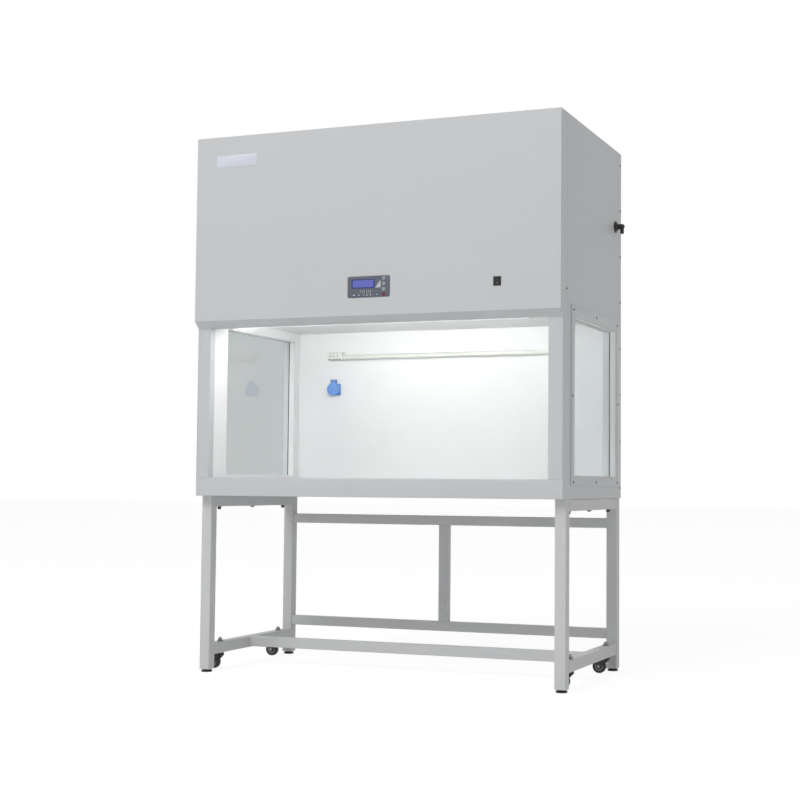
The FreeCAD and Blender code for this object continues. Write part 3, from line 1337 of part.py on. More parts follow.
def cable_gland():
    """Elbow gland on the right side: flange, barrel, downward leg and a lock nut inside."""
    at = ("place.gland_y", "place.gland_z")
    flange_x = ("place.half", "place.half + size.gland_flange_thick")
    flange = rod("gland_flange", "x", at, flange_x, "size.gland_flange_radius")
    middle = "(place.half + size.gland_reach)"
    inner_end = "place.skin - size.gland_tail"
    barrel = rod("gland_barrel", "x", at, (inner_end, middle), "size.gland_radius")
    elbow = doc.addObject("Part::Sphere", "gland_elbow")
    bind(elbow, "Radius", "size.gland_radius")
    put(elbow, middle, at[0], at[1])
    down = ("place.gland_z - size.gland_drop", "place.gland_z")
    leg = rod("gland_leg", "z", (middle, at[0]), down, "size.gland_leg_radius")
    nut = rod("gland_nut", "x", at, ("place.skin - size.gland_nut_thick", "place.skin"),
              "size.gland_nut_radius")
    solid = fuse("gland_solid", flange, barrel, elbow, leg, nut)
    down_cut = (f"{down[0]} - size.overcut", down[1])
    bore_down = rod("gland_bore_down", "z", (middle, at[0]), down_cut, "size.cord_bore_radius")
    bore_in = rod("gland_bore_in", "x", at, (f"{inner_end} - size.overcut", middle), "size.cord_bore_radius")
    return cut("cable_gland", solid, fuse("gland_bore", bore_down, bore_in))


def one_or_more(made):
    return made if isinstance(made, list) else [made]


SUBPARTS = (
    stand_side_frames, stand_rear_frame, stand_stretcher, stand_bolts, leg_inserts, levelling_feet,
    castor_stems, castor_forks, castor_wheels, base_tray, work_surface, front_columns, side_skins,
    side_liners, side_glass, glass_gaskets, glass_bezels, panel_screws, rear_liner, rear_panel,
    hood_cover, top_panel, prefilters, front_beam, filter_frame, filter_pack, diffuser, plenum_deck,
    blower_housings, blower_wheels, blower_motors, lamp_holders, lamp_tube, uv_tube, control_panel,
    display, keys, control_board, rocker_case, rocker, badge_plate, socket_body, socket_flap,
    cable_gland,
)


def build():
    fill_sheet()
    nodes = []
    for make in SUBPARTS:
        for piece in one_or_more(make()):
            piece.Label = piece.Name
            nodes.append(piece)
    doc.recompute()
    return nodes


def check(nodes):
    """Stop before anything is written if an object or a shape is bad."""
    for obj in doc.Objects:
        if "Invalid" in obj.State or "Error" in obj.State:
            raise RuntimeError(f"{obj.Name} is {obj.State}")
    for piece in nodes:
        if piece.Shape.isNull() or not piece.Shape.isValid() or not piece.Shape.Solids:
            raise RuntimeError(f"{piece.Label} has no valid solid")


def write(nodes):
    os.makedirs("parts", exist_ok=True)
    for piece in nodes:
        piece.Shape.exportStep(os.path.join("parts", piece.Label + ".step"))
        size = piece.Shape.BoundBox
        print(f"{piece.Label:30s} solids {len(piece.Shape.Solids):3d} "
              f"x {size.XMin:8.1f} {size.XMax:8.1f} y {size.YMin:7.1f} {size.YMax:7.1f} "
              f"z {size.ZMin:7.1f} {size.ZMax:7.1f}")


subparts = build()
check(subparts)
write(subparts)
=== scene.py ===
from functools import partial
from math import atan2, cos, pi, radians, sin

import bmesh
import bpy
from bpy.props import FloatProperty, FloatVectorProperty, PointerProperty
from mathutils import Matrix, Vector


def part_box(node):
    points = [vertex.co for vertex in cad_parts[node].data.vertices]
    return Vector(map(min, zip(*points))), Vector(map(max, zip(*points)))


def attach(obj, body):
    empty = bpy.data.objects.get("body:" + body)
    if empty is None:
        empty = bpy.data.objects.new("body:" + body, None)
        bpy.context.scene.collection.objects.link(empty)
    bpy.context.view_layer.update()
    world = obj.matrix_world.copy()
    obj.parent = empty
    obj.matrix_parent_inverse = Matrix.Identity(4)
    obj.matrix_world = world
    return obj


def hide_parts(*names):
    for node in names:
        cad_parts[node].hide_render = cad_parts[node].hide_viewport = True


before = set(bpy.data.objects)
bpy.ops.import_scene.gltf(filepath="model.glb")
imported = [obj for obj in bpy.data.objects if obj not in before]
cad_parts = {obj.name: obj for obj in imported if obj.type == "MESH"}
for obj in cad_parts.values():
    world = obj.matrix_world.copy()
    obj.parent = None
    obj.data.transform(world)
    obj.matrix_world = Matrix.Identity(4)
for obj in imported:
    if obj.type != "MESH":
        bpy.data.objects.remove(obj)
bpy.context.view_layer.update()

bl_info = {
    "name": "Laminar flow cabinet",
    "version": (1, 0, 0),
    "blender": (4, 5, 0),
    "location": "View3D > Sidebar > Cabinet",
    "description": "Dresses the packed laminar flow cabinet with sheet metal, glass and lamps",
    "category": "Object",
}

MM = 0.001
BODY = "cabinet"
SIDES = {"left": -1, "right": 1}
SHEET = 1.5
HOOD_FACE = -375.0
SIDE_FACE = 700.0
BEZEL_FACE = 703.0


def linear(code):
    """The linear colour of an sRGB hex value."""
    channels = [int(code[i:i + 2], 16) / 255 for i in (1, 3, 5)]
    return tuple(c / 12.92 if c <= 0.04045 else ((c + 0.055) / 1.055) ** 2.4 for c in channels)


def colour(label, code):
    return FloatVectorProperty(name=label, description=f"Colour of the {label.lower()}",
                               subtype="COLOR", size=3, min=0, max=1, default=linear(code))


def length(label, meaning, value):
    return FloatProperty(name=label, description=meaning, subtype="DISTANCE", unit="LENGTH",
                         min=0, default=value * MM, precision=5)


class CabinetSizes(bpy.types.PropertyGroup):
    bend: length("Bend radius", "Outer radius of the folds in the covers", 2.4)
    seam: length("Hood seam", "Open seam behind the hood's cheek", 1.2)
    weld: length("Weld bead", "Radius of the weld beads on the stand", 1.7)
    peel: length("Paint texture", "Spacing of the powder coat's fine texture as drawn", 9)
    perforation: length("Perforation pitch", "Hole spacing in the diffuser as drawn", 12)
    panel_corner: length("Panel corner", "Corner radius of the control panel", 5)
    glow: FloatProperty(name="Lamp strength", description="Emission strength of the lit tube",
                        min=0, default=31)


class CabinetColours(bpy.types.PropertyGroup):
    shell: colour("Covers", "#CACCCE")
    chamber: colour("Chamber walls", "#F2F3F3")
    stand: colour("Stand", "#CECFD0")
    glass: colour("Side glass", "#E6ECEC")
    film: colour("Control panel film", "#555B68")
    display: colour("Display", "#5C66B8")
    display_rim: colour("Display rim", "#35367E")
    label: colour("Blank plate", "#D8DCE8")
    mark: colour("Panel marks", "#C2CACA")
    patch: colour("Printed patches", "#3C4262")
    key: colour("Round keys", "#98A0AA")
    red_key: colour("Power key", "#6E2B38")
    flap: colour("Socket", "#6F9FE2")
    steel: colour("Worktop steel", "#B9BBBC")
    background: colour("Floor", "#F7F7F7")


def sizes():
    return bpy.context.scene.cabinet_sizes


def colours():
    return bpy.context.scene.cabinet_colours


# ---------------------------------------------------------------- finishes

def add(tree, kind, inputs=(), **settings):
    """Adds a shader node: inputs holds values or linked outputs by socket, settings are properties."""
    node = tree.nodes.new("ShaderNode" + kind)
    for key, value in settings.items():
        setattr(node, key, value)
    for key, value in dict(inputs).items():
        socket = node.inputs[key]
        if isinstance(value, bpy.types.NodeSocket):
            tree.links.new(value, socket)
        elif getattr(socket, "type", "") == "RGBA":
            socket.default_value = (*value, 1)
        else:
            socket.default_value = value
    return node


def begin(name):
    made = bpy.data.materials.new(name)
    made.use_nodes = True
    made.node_tree.nodes.clear()
    return made, made.node_tree


def end(made, shader):
    add(made.node_tree, "OutputMaterial", {"Surface": shader.outputs[0]})
    return made


def place(tree, scale=(1, 1, 1)):
    """Object coordinates, which are metres in the frame, stretched by scale."""
    at = add(tree, "TexCoord")
    return add(tree, "Mapping", {"Vector": at.outputs["Object"], "Scale": scale}).outputs[0]


def vary(tree, pattern, low, high):
    """Turns a noise into values from low to high, which are two numbers or two colours."""
    numbers = isinstance(low, (int, float))
    ends = (low, high) if numbers else (0, 1)
    value = add(tree, "MapRange", {"Value": pattern, "From Min": 0.25, "From Max": 0.75,
                                   "To Min": ends[0], "To Max": ends[1]}).outputs[0]
    if numbers:
        return value
    return add(tree, "Mix", {0: value, 6: low, 7: high}, data_type="RGBA").outputs[2]


def darker(shade, amount):
    return tuple(c * amount for c in shade)


def grained(name, shade, dim, scale, roughness, detail=2, relief=None, fold=None,
            stretch=(1, 1, 1), skin=()):
    """A finish led by one noise, with scale features to the metre. It moves the tone between shade
    and shade times dim, the roughness where that is a pair, and the relief, which is a strength and
    a height in mm, over folds softened by a radius in mm. Skin holds the other sockets."""
    made, tree = begin(name)
    noise = add(tree, "TexNoise", {
        "Vector": place(tree, stretch), "Scale": scale, "Detail": detail}).outputs[0]
    skin = dict(skin)
    skin["Base Color"] = vary(tree, noise, darker(shade, dim), tuple(shade))
    skin["Roughness"] = vary(tree, noise, *roughness) if isinstance(roughness, tuple) else roughness
    if relief:
        settings = {"Height": noise, "Strength": relief[0], "Distance": relief[1] * MM}
        if fold:
            settings["Normal"] = add(tree, "Bevel", {"Radius": fold * MM}, samples=4).outputs[0]
        skin["Normal"] = add(tree, "Bump", settings).outputs[0]
    return end(made, add(tree, "BsdfPrincipled", skin))


def powder_coat(name, shade, roughness, strength):
    """Polyester powder coat, sprayed and baked: a matt, faintly pebbled paint with softened folds.
    The pebbles of a real coat are 1 to 2 mm, drawn wider so that they show at all."""
    made, tree = begin(name)
    at = place(tree)
    pebble = add(tree, "TexNoise", {"Vector": at, "Scale": 1 / sizes().peel, "Detail": 3}).outputs[0]
    cloud = add(tree, "TexNoise", {"Vector": at, "Scale": 2.2, "Detail": 2}).outputs[0]
    fold = add(tree, "Bevel", {"Radius": 1.2 * MM}, samples=4)
    bump = add(tree, "Bump", {"Height": pebble, "Strength": strength, "Distance": 0.3 * MM,
                              "Normal": fold.outputs[0]})
    return end(made, add(tree, "BsdfPrincipled", {
        "Base Color": vary(tree, cloud, darker(shade, 0.975), tuple(shade)),
        "Roughness": vary(tree, pebble, roughness - 0.05, roughness + 0.05),
        "Normal": bump.outputs[0], "IOR": 1.5}))


def shell_coat():
    return powder_coat("powder_coat_shell", colours().shell, 0.46, 0.12)


def chamber_coat():
    return powder_coat("powder_coat_chamber", colours().chamber, 0.36, 0.06)


def stand_coat():
    return powder_coat("epoxy_coat_stand", colours().stand, 0.5, 0.22)


def brushed_stainless():
    """Stainless steel sheet, brushed along its length: long fine streaks and a stretched shine.
    Real brush lines are 0.1 mm, drawn 1.5 mm apart."""
    return grained("brushed_stainless_worktop", colours().steel, 0.9, 1, (0.24, 0.38), 4,
                   (0.08, 0.1), stretch=(6, 650, 650), skin={"Metallic": 1.0})


def float_glass():
    """Float glass, polished: a clear, faintly green pane with sharp reflections at a low angle.
    Shadow rays pass it, so that daylight reaches the chamber."""
    made, tree = begin("float_glass_side")
    ripple = add(tree, "TexNoise", {"Vector": place(tree), "Scale": 3.0, "Detail": 1})
    bump = add(tree, "Bump", {"Height": ripple.outputs[0], "Strength": 0.02, "Distance": 2 * MM})
    pane = add(tree, "BsdfPrincipled", {
        "Base Color": colours().glass, "Roughness": 0.0, "IOR": 1.5, "Transmission Weight": 1.0,
        "Normal": bump.outputs[0]})
    clear = add(tree, "BsdfTransparent", {"Color": colours().glass})
    ray = add(tree, "LightPath")
    return end(made, add(tree, "MixShader", {0: ray.outputs["Is Shadow Ray"], 1: pane.outputs[0],
                                             2: clear.outputs[0]}))


def moulded(name, shade, roughness, grain, strength=0.15, ior=1.5):
    """Moulded plastic: an even colour, a fine spark-eroded grain and a soft sheen.
    The grain is about 0.3 mm, drawn at the size given in mm."""
    return grained(name, shade, 0.92, 1 / (grain * MM), (roughness - 0.06, roughness + 0.06), 4,
                   (strength, 0.15), 0.6, skin={"IOR": ior})


# Mouldings, rubber and cast tread of fixed colour: satin black, dull black, grey and white.
black_nylon = partial(moulded, "nylon_moulded_black", linear("#151618"), 0.42, 0.8)
black_rubber = partial(moulded, "epdm_rubber_extruded", linear("#232527"), 0.75, 1.2, 0.3)
tread = partial(moulded, "polyurethane_cast_tread", linear("#141516"), 0.5, 1.5, 0.2)
hub_nylon = partial(moulded, "nylon_moulded_hub", linear("#8E908E"), 0.4, 0.8)
white_polycarbonate = partial(moulded, "polycarbonate_moulded_white", linear("#ECEEE9"), 0.35, 0.8,
                              0.08, 1.58)


def blue_polyamide():
    return moulded("polyamide_moulded_blue", colours().flap, 0.34, 0.8, 0.08)


def key_silicone():
    return moulded("silicone_moulded_key", colours().key, 0.55, 0.5, 0.1, 1.43)


def red_silicone():
    return moulded("silicone_moulded_red_key", colours().red_key, 0.55, 0.5, 0.1, 1.43)


board_laminate = partial(moulded, "epoxy_glass_laminate", linear("#2C5A3A"), 0.4, 2.0)
# Flat dark inset for slots, holes and cross recesses that are not cut: painted shade
slot_painted_shade = partial(moulded, "recess_painted_shade", linear("#3C3F3E"), 0.7, 0.8)


def display_rim():
    return moulded("polycarbonate_tinted_rim", colours().display_rim, 0.25, 1.0, 0.02, 1.58)


def printed_polyester():
    """Polyester film, reverse printed: a flat satin colour under a clear skin."""
    return grained("polyester_film_printed", colours().film, 0.9, 60.0, 0.34,
                   skin={"IOR": 1.57, "Coat Weight": 0.15, "Coat Roughness": 0.2})


def printed_mark():
    """Screen printed ink: flat, matt and slightly uneven at its edge."""
    return grained("ink_screen_printed", colours().mark, 0.86, 900.0, 0.6)


def printed_patch():
    """Screen printed ink, dark blue: a satin field under the white marks."""
    return grained("ink_screen_printed_patch", colours().patch, 0.9, 500.0, 0.45)


def printed_label():
    """Polycarbonate label, printed pale on its back: smooth, with a clear satin skin."""
    return grained("polycarbonate_label_printed", colours().label, 0.96, 40.0, 0.35,
                   skin={"IOR": 1.58, "Coat Weight": 0.2, "Coat Roughness": 0.15})


def backlit_display():
    """Liquid crystal window, backlit: an even violet glow with a faint cell grid and a dark rim.
    Character cells of 5 by 8 mm are drawn at their real size."""
    made, tree = begin("liquid_crystal_backlit")
    shade = colours().display
    cell = add(tree, "TexBrick", {
        "Vector": place(tree, (200, 200, 125)), "Scale": 1.0, "Mortar Size": 0.06, "Brick Width": 1.0,
        "Row Height": 1.0, "Color1": shade, "Color2": darker(shade, 0.94),
        "Mortar": darker(shade, 1.18)}, offset=0.0)
    glow = add(tree, "TexNoise", {"Vector": place(tree), "Scale": 18.0, "Detail": 1})
    share = vary(tree, glow.outputs[0], 0.1, 0.5)
    lit = add(tree, "Mix", {0: share, 6: cell.outputs[0], 7: shade}, data_type="RGBA").outputs[2]
    return end(made, add(tree, "BsdfPrincipled", {
        "Base Color": lit, "Roughness": 0.12, "IOR": 1.5, "Emission Color": lit,
        "Emission Strength": 0.12}))


def metal(name, shade, roughness, grain, strength=0.1):
    """Bare metal with a fine surface grain, its size in mm: its tone and its shine vary together."""
    return grained(name, shade, 0.8, 1 / (grain * MM), (roughness - 0.07, roughness + 0.07), 4,
                   (strength, 0.1), 0.5, skin={"Metallic": 1.0})


# Plated fasteners, castings and extrusions: soft grey sparkle, from dark screws to pale frames.
zinc_plate = partial(metal, "zinc_plated_steel", linear("#8A8C8E"), 0.4, 1.5)
dark_screw = partial(metal, "black_zinc_steel", linear("#4A4C50"), 0.42, 1.0)
cast_aluminium = partial(metal, "aluminium_cast", linear("#9EA2A6"), 0.5, 2.5, 0.3)
anodised_aluminium = partial(metal, "aluminium_anodised", linear("#B9BCBF"), 0.33, 1.2)


def galvanised_steel():
    """Galvanised sheet, hot dipped: flat crystals of zinc, 8 to 15 mm across, at slightly
    different tones."""
    made, tree = begin("galvanised_steel_sheet")
    at = place(tree)
    bent = add(tree, "TexNoise", {"Vector": at, "Scale": 90.0, "Detail": 2})
    warped = add(tree, "VectorMath", {0: at, 1: bent.outputs["Color"]}, operation="ADD")
    flower = add(tree, "TexVoronoi", {"Vector": at, "Scale": 85.0}, feature="F1")
    fleck = add(tree, "TexVoronoi", {"Vector": warped.outputs[0], "Scale": 12.0}, feature="F1")
    fac = add(tree, "Math", {0: flower.outputs["Color"], 1: fleck.outputs["Distance"]},
              operation="MULTIPLY").outputs[0]
    tone = add(tree, "Mix", {0: fac, 6: linear("#8F9498"), 7: linear("#B8BCBF")}, data_type="RGBA")
    return end(made, add(tree, "BsdfPrincipled", {
        "Base Color": tone.outputs[2], "Metallic": 1.0, "Roughness": vary(tree, fac, 0.34, 0.52)}))


def filter_paper():
    """Glass fibre paper, pleated 6 mm apart: bumped ridges across the filter, painted lighter on the
    ridges and darker in the valleys, painted highlight and shade of the pleats.
    """
    made, tree = begin("glass_fibre_paper_pleated")
    fold = add(tree, "TexWave", {"Vector": place(tree), "Scale": 53.0, "Distortion": 0.4},
               wave_type="BANDS", bands_direction="X").outputs["Fac"]
    # Painted shade in the pleats' valleys and painted highlight on their ridges, following the pleat
    # bands
    tone = add(tree, "Mix", {0: fold, 6: linear("#D5D5CF"), 7: linear("#F4F4F0")}, data_type="RGBA")
    bump = add(tree, "Bump", {"Height": fold, "Strength": 0.8, "Distance": 3 * MM})
    return end(made, add(tree, "BsdfPrincipled", {
        "Base Color": tone.outputs[2], "Roughness": 0.9, "Normal": bump.outputs[0]}))


def fleece():
    """Polyester fleece, needled: a soft white mat of tangled fibres, tufts about 6 mm across."""
    made, tree = begin("polyester_fleece_needled")
    tuft = add(tree, "TexNoise", {"Vector": place(tree), "Scale": 160.0, "Detail": 6,
                                  "Roughness": 0.7}).outputs[0]
    bump = add(tree, "Bump", {"Height": tuft, "Strength": 0.7, "Distance": 2 * MM})
    return end(made, add(tree, "BsdfPrincipled", {
        "Base Color": vary(tree, tuft, linear("#C9CCCA"), linear("#EDEFEC")), "Roughness": 0.95,
        "Sheen Weight": 0.3, "Normal": bump.outputs[0]}))


def perforated_coat():
    """Perforated sheet, powder coated white: rows of round holes, 5 mm real pitch, drawn wider, a
    little darker than the sheet between them. The sheet is painted 5 percent lighter than the chamber
    paint and the holes only a little darker than it: painted light that brightens the ceiling.
    """
    made, tree = begin("perforated_sheet_coated")
    pitch = 1 / sizes().perforation
    hole = add(tree, "TexVoronoi", {"Vector": place(tree, (pitch, pitch, 0)), "Scale": 1.0,
                                    "Randomness": 0.0}, voronoi_dimensions="2D")
    rim = add(tree, "MapRange", {"Value": hole.outputs["Distance"], "From Min": 0.2,
                                 "From Max": 0.28}).outputs[0]
    shade = colours().chamber
    # Painted light: the holes at 0.96 and the sheet at 1.05 times the chamber paint lift the ceiling's
    # tone
    tone = add(tree, "Mix", {0: rim, 6: darker(shade, 0.96), 7: darker(shade, 1.05)}, data_type="RGBA")
    bump = add(tree, "Bump", {"Height": rim, "Strength": 0.4, "Distance": 1 * MM})
    return end(made, add(tree, "BsdfPrincipled", {
        "Base Color": tone.outputs[2], "Roughness": 0.4, "Normal": bump.outputs[0]}))


def lit_tube():
    """Opal lamp glass, lit: an even white strip. The camera sees it just past white, so that its
    edge stays smooth, while it lights the chamber at its full strength."""
    made, tree = begin("lamp_glass_lit")
    haze = add(tree, "TexNoise", {"Vector": place(tree), "Scale": 12.0, "Detail": 1}).outputs[0]
    ray = add(tree, "LightPath")
    strength = add(tree, "MapRange", {"Value": ray.outputs["Is Camera Ray"], "To Min": sizes().glow,
                                      "To Max": 1.3})
    return end(made, add(tree, "BsdfPrincipled", {
        "Base Color": vary(tree, haze, linear("#F4F8FA"), linear("#FFFFFF")), "Roughness": 0.3,
        "Emission Color": linear("#FFFDFC"), "Emission Strength": strength.outputs[0]}))


def quartz_tube():
    """Quartz lamp glass, drawn, unlit: a milky, faintly green white with a clean highlight."""
    made, tree = begin("quartz_glass_unlit")
    haze = add(tree, "TexNoise", {"Vector": place(tree), "Scale": 25.0, "Detail": 2}).outputs[0]
    return end(made, add(tree, "BsdfPrincipled", {
        "Base Color": vary(tree, haze, linear("#E4E7DF"), linear("#EDEFE8")), "Roughness": 0.12,
        "IOR": 1.46, "Coat Weight": 0.3, "Coat Roughness": 0.05}))


made_finishes = {}


def finish(maker):
    """The one material that a maker function gives."""
    if maker not in made_finishes:
        made_finishes[maker] = maker()
    return made_finishes[maker]


def dress(maker, *nodes):
    """Gives carried-over CAD nodes their finish."""
    for name in nodes:
        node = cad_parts[name]
        if not node.material_slots:
            raise RuntimeError(f"{name} has no material slot")
        for slot in node.material_slots:
            slot.material = finish(maker)


AXES = {"x": 0, "y": 1, "z": 2}


def point_at(axis, along, first, second):
    """A point from its place along an axis and its two other places, in X, Y, Z order."""
    rest = [first, second]
    rest.insert(AXES[axis], along)
    return Vector(rest)


def rectangle(first, second):
    return ((first[0], second[0]), (first[1], second[0]), (first[1], second[1]), (first[0], second[1]))


class Piece:
    """A piece in the making: a mesh in millimetres in the frame, with its finishes in order."""

    def __init__(self, *finishes):
        self.mesh = bmesh.new()
        self.finishes = finishes

    def take(self, part, index):
        """Adds a finished part to the piece."""
        bmesh.ops.recalc_face_normals(part, faces=part.faces)
        for face in part.faces:
            face.material_index = index
        held = bpy.data.meshes.new("part")
        part.to_mesh(held)
        part.free()
        self.mesh.from_mesh(held)
        bpy.data.meshes.remove(held)

    def prism(self, outline, axis, low, high, soft=0.0, index=0, steps=2):
        """An outline of its two other places, drawn out along an axis, with softened edges."""
        part = bmesh.new()
        first = [part.verts.new(point_at(axis, low, a, b)) for a, b in outline]
        last = [part.verts.new(point_at(axis, high, a, b)) for a, b in outline]
        part.faces.new(first)
        part.faces.new(last)
        for i in range(len(outline)):
            j = (i + 1) % len(outline)
            part.faces.new((first[i], first[j], last[j], last[i]))
        bmesh.ops.recalc_face_normals(part, faces=part.faces)
        soften(part, soft, steps)
        self.take(part, index)

    def block(self, x, y, z, soft=0.4, index=0, steps=2):
        """A block between pairs of places."""
        self.prism(rectangle(y, z), "x", x[0], x[1], soft, index, steps)

    def frame(self, axis, low, high, outer, inner, soft=0.4, index=0):
        """A flat frame: outer and inner are (first span, second span)."""
        part = bmesh.new()
        rings = []
        for along in (low, high):
            for first, second in (outer, inner):
                rings.append([part.verts.new(point_at(axis, along, a, b))
                              for a, b in rectangle(first, second)])
        for a, b in ((0, 1), (2, 3), (0, 2), (1, 3)):
            for i in range(4):
                j = (i + 1) % 4
                part.faces.new((rings[a][i], rings[a][j], rings[b][j], rings[b][i]))
        bmesh.ops.recalc_face_normals(part, faces=part.faces)
        soften(part, soft, 2)
        self.take(part, index)

    def lathe(self, axis, centre, profile, index=0, steps=32, turn=0.0):
        """A (radius, place along the axis) profile turned about an axis; few steps give a hexagon."""
        part = bmesh.new()
        rings = []
        for radius, along in profile:
            if radius < 0.01:
                rings.append([part.verts.new(point_at(axis, along, *centre))])
                continue
            ring = []
            for i in range(steps):
                angle = turn + 2 * pi * i / steps
                ring.append(part.verts.new(point_at(axis, along, centre[0] + radius * cos(angle),
                                                    centre[1] + radius * sin(angle))))
            rings.append(ring)
        for one, two in zip(rings, rings[1:]):
            for i in range(steps):
                j = (i + 1) % steps
                corners = [one[i % len(one)], one[j % len(one)], two[j % len(two)], two[i % len(two)]]
                unique = list(dict.fromkeys(corners))
                if len(unique) > 2:
                    part.faces.new(unique)
        for ring in (rings[0], rings[-1]):
            if len(ring) > 2:
                part.faces.new(ring)
        self.take(part, index)

    def sweep(self, path, radius, index=0, steps=12, closed=False):
        """A round bar along a path of points; radius may be one number or one for each point."""
        part = bmesh.new()
        count = len(path)
        radii = radius if isinstance(radius, (list, tuple)) else [radius] * count
        rings = []
        side = None
        for i, point in enumerate(path):
            before = path[i - 1] if closed or i else point
            after = path[(i + 1) % count] if closed or i < count - 1 else point
            way = (Vector(after) - Vector(before)).normalized()
            if side is None:
                side = way.orthogonal().normalized()
            side = (side - way * side.dot(way)).normalized()
            across = way.cross(side)
            angles = [2 * pi * k / steps for k in range(steps)]
            ring = [radii[i] * (side * cos(angle) + across * sin(angle)) for angle in angles]
            rings.append([part.verts.new(Vector(point) + spoke) for spoke in ring])
        last = count if closed else count - 1
        for i in range(last):
            one, two = rings[i], rings[(i + 1) % count]
            for k in range(steps):
                j = (k + 1) % steps
                part.faces.new((one[k], one[j], two[j], two[k]))
        if not closed:
            part.faces.new(rings[0])
            part.faces.new(rings[-1])
        self.take(part, index)

    def folded(self, path, thick, axis, low, high, bend, index=0):
        """Sheet folded along a path of outer points, which it lies to the right of, and drawn out
        along an axis."""
        outer = rounded_path(path, bend, thick)
        inner = []
        for i, (a, b) in enumerate(outer):
            before = outer[max(i - 1, 0)]
            after = outer[min(i + 1, len(outer) - 1)]
            da, db = after[0] - before[0], after[1] - before[1]
            size = (da * da + db * db) ** 0.5
            inner.append((a + thick * db / size, b - thick * da / size))
        self.prism(outer + inner[::-1], axis, low, high, 0, index)

    def placed(self, name):
        """The mesh as an object of the scene, in metres."""
        shape = bpy.data.meshes.new(name)
        bmesh.ops.scale(self.mesh, vec=(MM, MM, MM), verts=self.mesh.verts)
        self.mesh.to_mesh(shape)
        self.mesh.free()
        made = bpy.data.objects.new(name, shape)
        bpy.context.scene.collection.objects.link(made)
        return made

    def done(self, name, replaces=(), body=BODY, cuts=()):
        """Puts the piece into the scene, riding on its body."""
        made = self.placed(name)
        for maker in self.finishes:
            made.data.materials.append(finish(maker))
        if cuts:
            made.data = cut_out(made, cuts)
        made.data.shade_smooth()
        made.data.set_sharp_from_angle(angle=radians(40))
        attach(made, body)
        if replaces:
            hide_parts(*replaces)
        return made


def soften(part, size, steps):
    """Rounds the sharp edges of a part."""
    if size <= 0:
        return
    sharp = [e for e in part.edges if len(e.link_faces) == 2 and e.calc_face_angle(0) > radians(25)]
    bmesh.ops.bevel(part, geom=sharp, offset=size, segments=steps, profile=0.5, affect="EDGES",
                    clamp_overlap=True)


def rounded_path(path, bend, thick):
    """A path with its corners turned into arcs; a left turn keeps the sheet on the inside smaller."""
    points = [Vector(p) for p in path]
    out = [tuple(points[0])]
    for before, corner, after in zip(points, points[1:], points[2:]):
        one = (before - corner).normalized()
        two = (after - corner).normalized()
        turn = (corner - before).cross(after - corner)
        radius = bend if turn < 0 else max(bend - thick, 0.3)
        half = one.angle(two) / 2
        reach = radius * cos(half) / sin(half)
        start, stop = corner + one * reach, corner + two * reach
        middle = corner + (one + two).normalized() * radius / sin(half)
        first = atan2(start.y - middle.y, start.x - middle.x)
        sweep = atan2(stop.y - middle.y, stop.x - middle.x) - first
        sweep = (sweep + pi) % (2 * pi) - pi
        for i in range(6):
            angle = first + sweep * i / 5
            out.append((middle.x + radius * cos(angle), middle.y + radius * sin(angle)))
    out.append(tuple(points[-1]))
    return out


def cut_out(target, cuts):
    """The target's mesh less some cuts in millimetres: boxes, each three spans, and round bars,
    each an axis, a centre, two ends and a radius."""
    tools = []
    for number, cut in enumerate(cuts):
        cutter = Piece()
        if cut[0] in AXES:
            axis, centre, low, high, radius = cut
            cutter.lathe(axis, centre, ((radius, low), (radius, high)), steps=32)
        else:
            cutter.block(*cut, soft=0)
        tool = cutter.placed(f"cutter_{number}")
        tools.append(tool)
        step = target.modifiers.new(f"cut_{number}", "BOOLEAN")
        step.operation = "DIFFERENCE"
        step.solver = "EXACT"
        step.use_self = True
        step.object = tool
    bpy.context.view_layer.update()
    seen = target.evaluated_get(bpy.context.evaluated_depsgraph_get())
    result = bpy.data.meshes.new_from_object(seen)
    target.modifiers.clear()
    for tool in tools:
        bpy.data.objects.remove(tool)
    return result


def rounded_rectangle(first, second, radius, steps=6):
    """The outline of a rectangle with round corners."""
    points = []
    left, right = grown(first, -radius)
    low, high = grown(second, -radius)
    for a, b, start in ((right, low, -90), (right, high, 0), (left, high, 90), (left, low, 180)):
        for i in range(steps + 1):
            angle = radians(start + 90 * i / steps)
            points.append((a + radius * cos(angle), b + radius * sin(angle)))
    return points


def span(node, axis):
    """A CAD node's lowest and highest place along an axis, in millimetres."""
    low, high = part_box(node)
    return low[AXES[axis]] / MM, high[AXES[axis]] / MM


def spans(node):
    return [span(node, axis) for axis in AXES]


def grown(pair, by):
    return pair[0] - by, pair[1] + by


def mirrored(sign, first, second):
    """A span across the cabinet on the side that sign names."""
    return sorted((sign * first, sign * second))


STAND = {"mid": 679.0, "tube": 40.0, "leg_front": -305.0, "leg_rear": 323.0,
         "low": (62.0, 102.0), "high": (601.0, 641.0), "rail_y": (328.0, 358.0),
         "cross_y": (-9.0, 31.0)}


def weld_loop(piece, axis, along, first, second):
    """A rippled bead round a tube's end where it meets another tube."""
    bead = sizes().weld / MM
    corners = rounded_rectangle(first, second, 3.0, 2)
    path = []
    for i, (a, b) in enumerate(corners):
        following = corners[(i + 1) % len(corners)]
        gap = ((following[0] - a) ** 2 + (following[1] - b) ** 2) ** 0.5
        parts = max(1, round(gap / 3.5))
        for k in range(parts):
            share = k / parts
            path.append(point_at(axis, along, a + (following[0] - a) * share,
                                 b + (following[1] - b) * share))
    radii = [bead * (1 + 0.16 * sin(2.4 * i)) for i in range(len(path))]
    piece.sweep(path, radii, steps=8, closed=True)


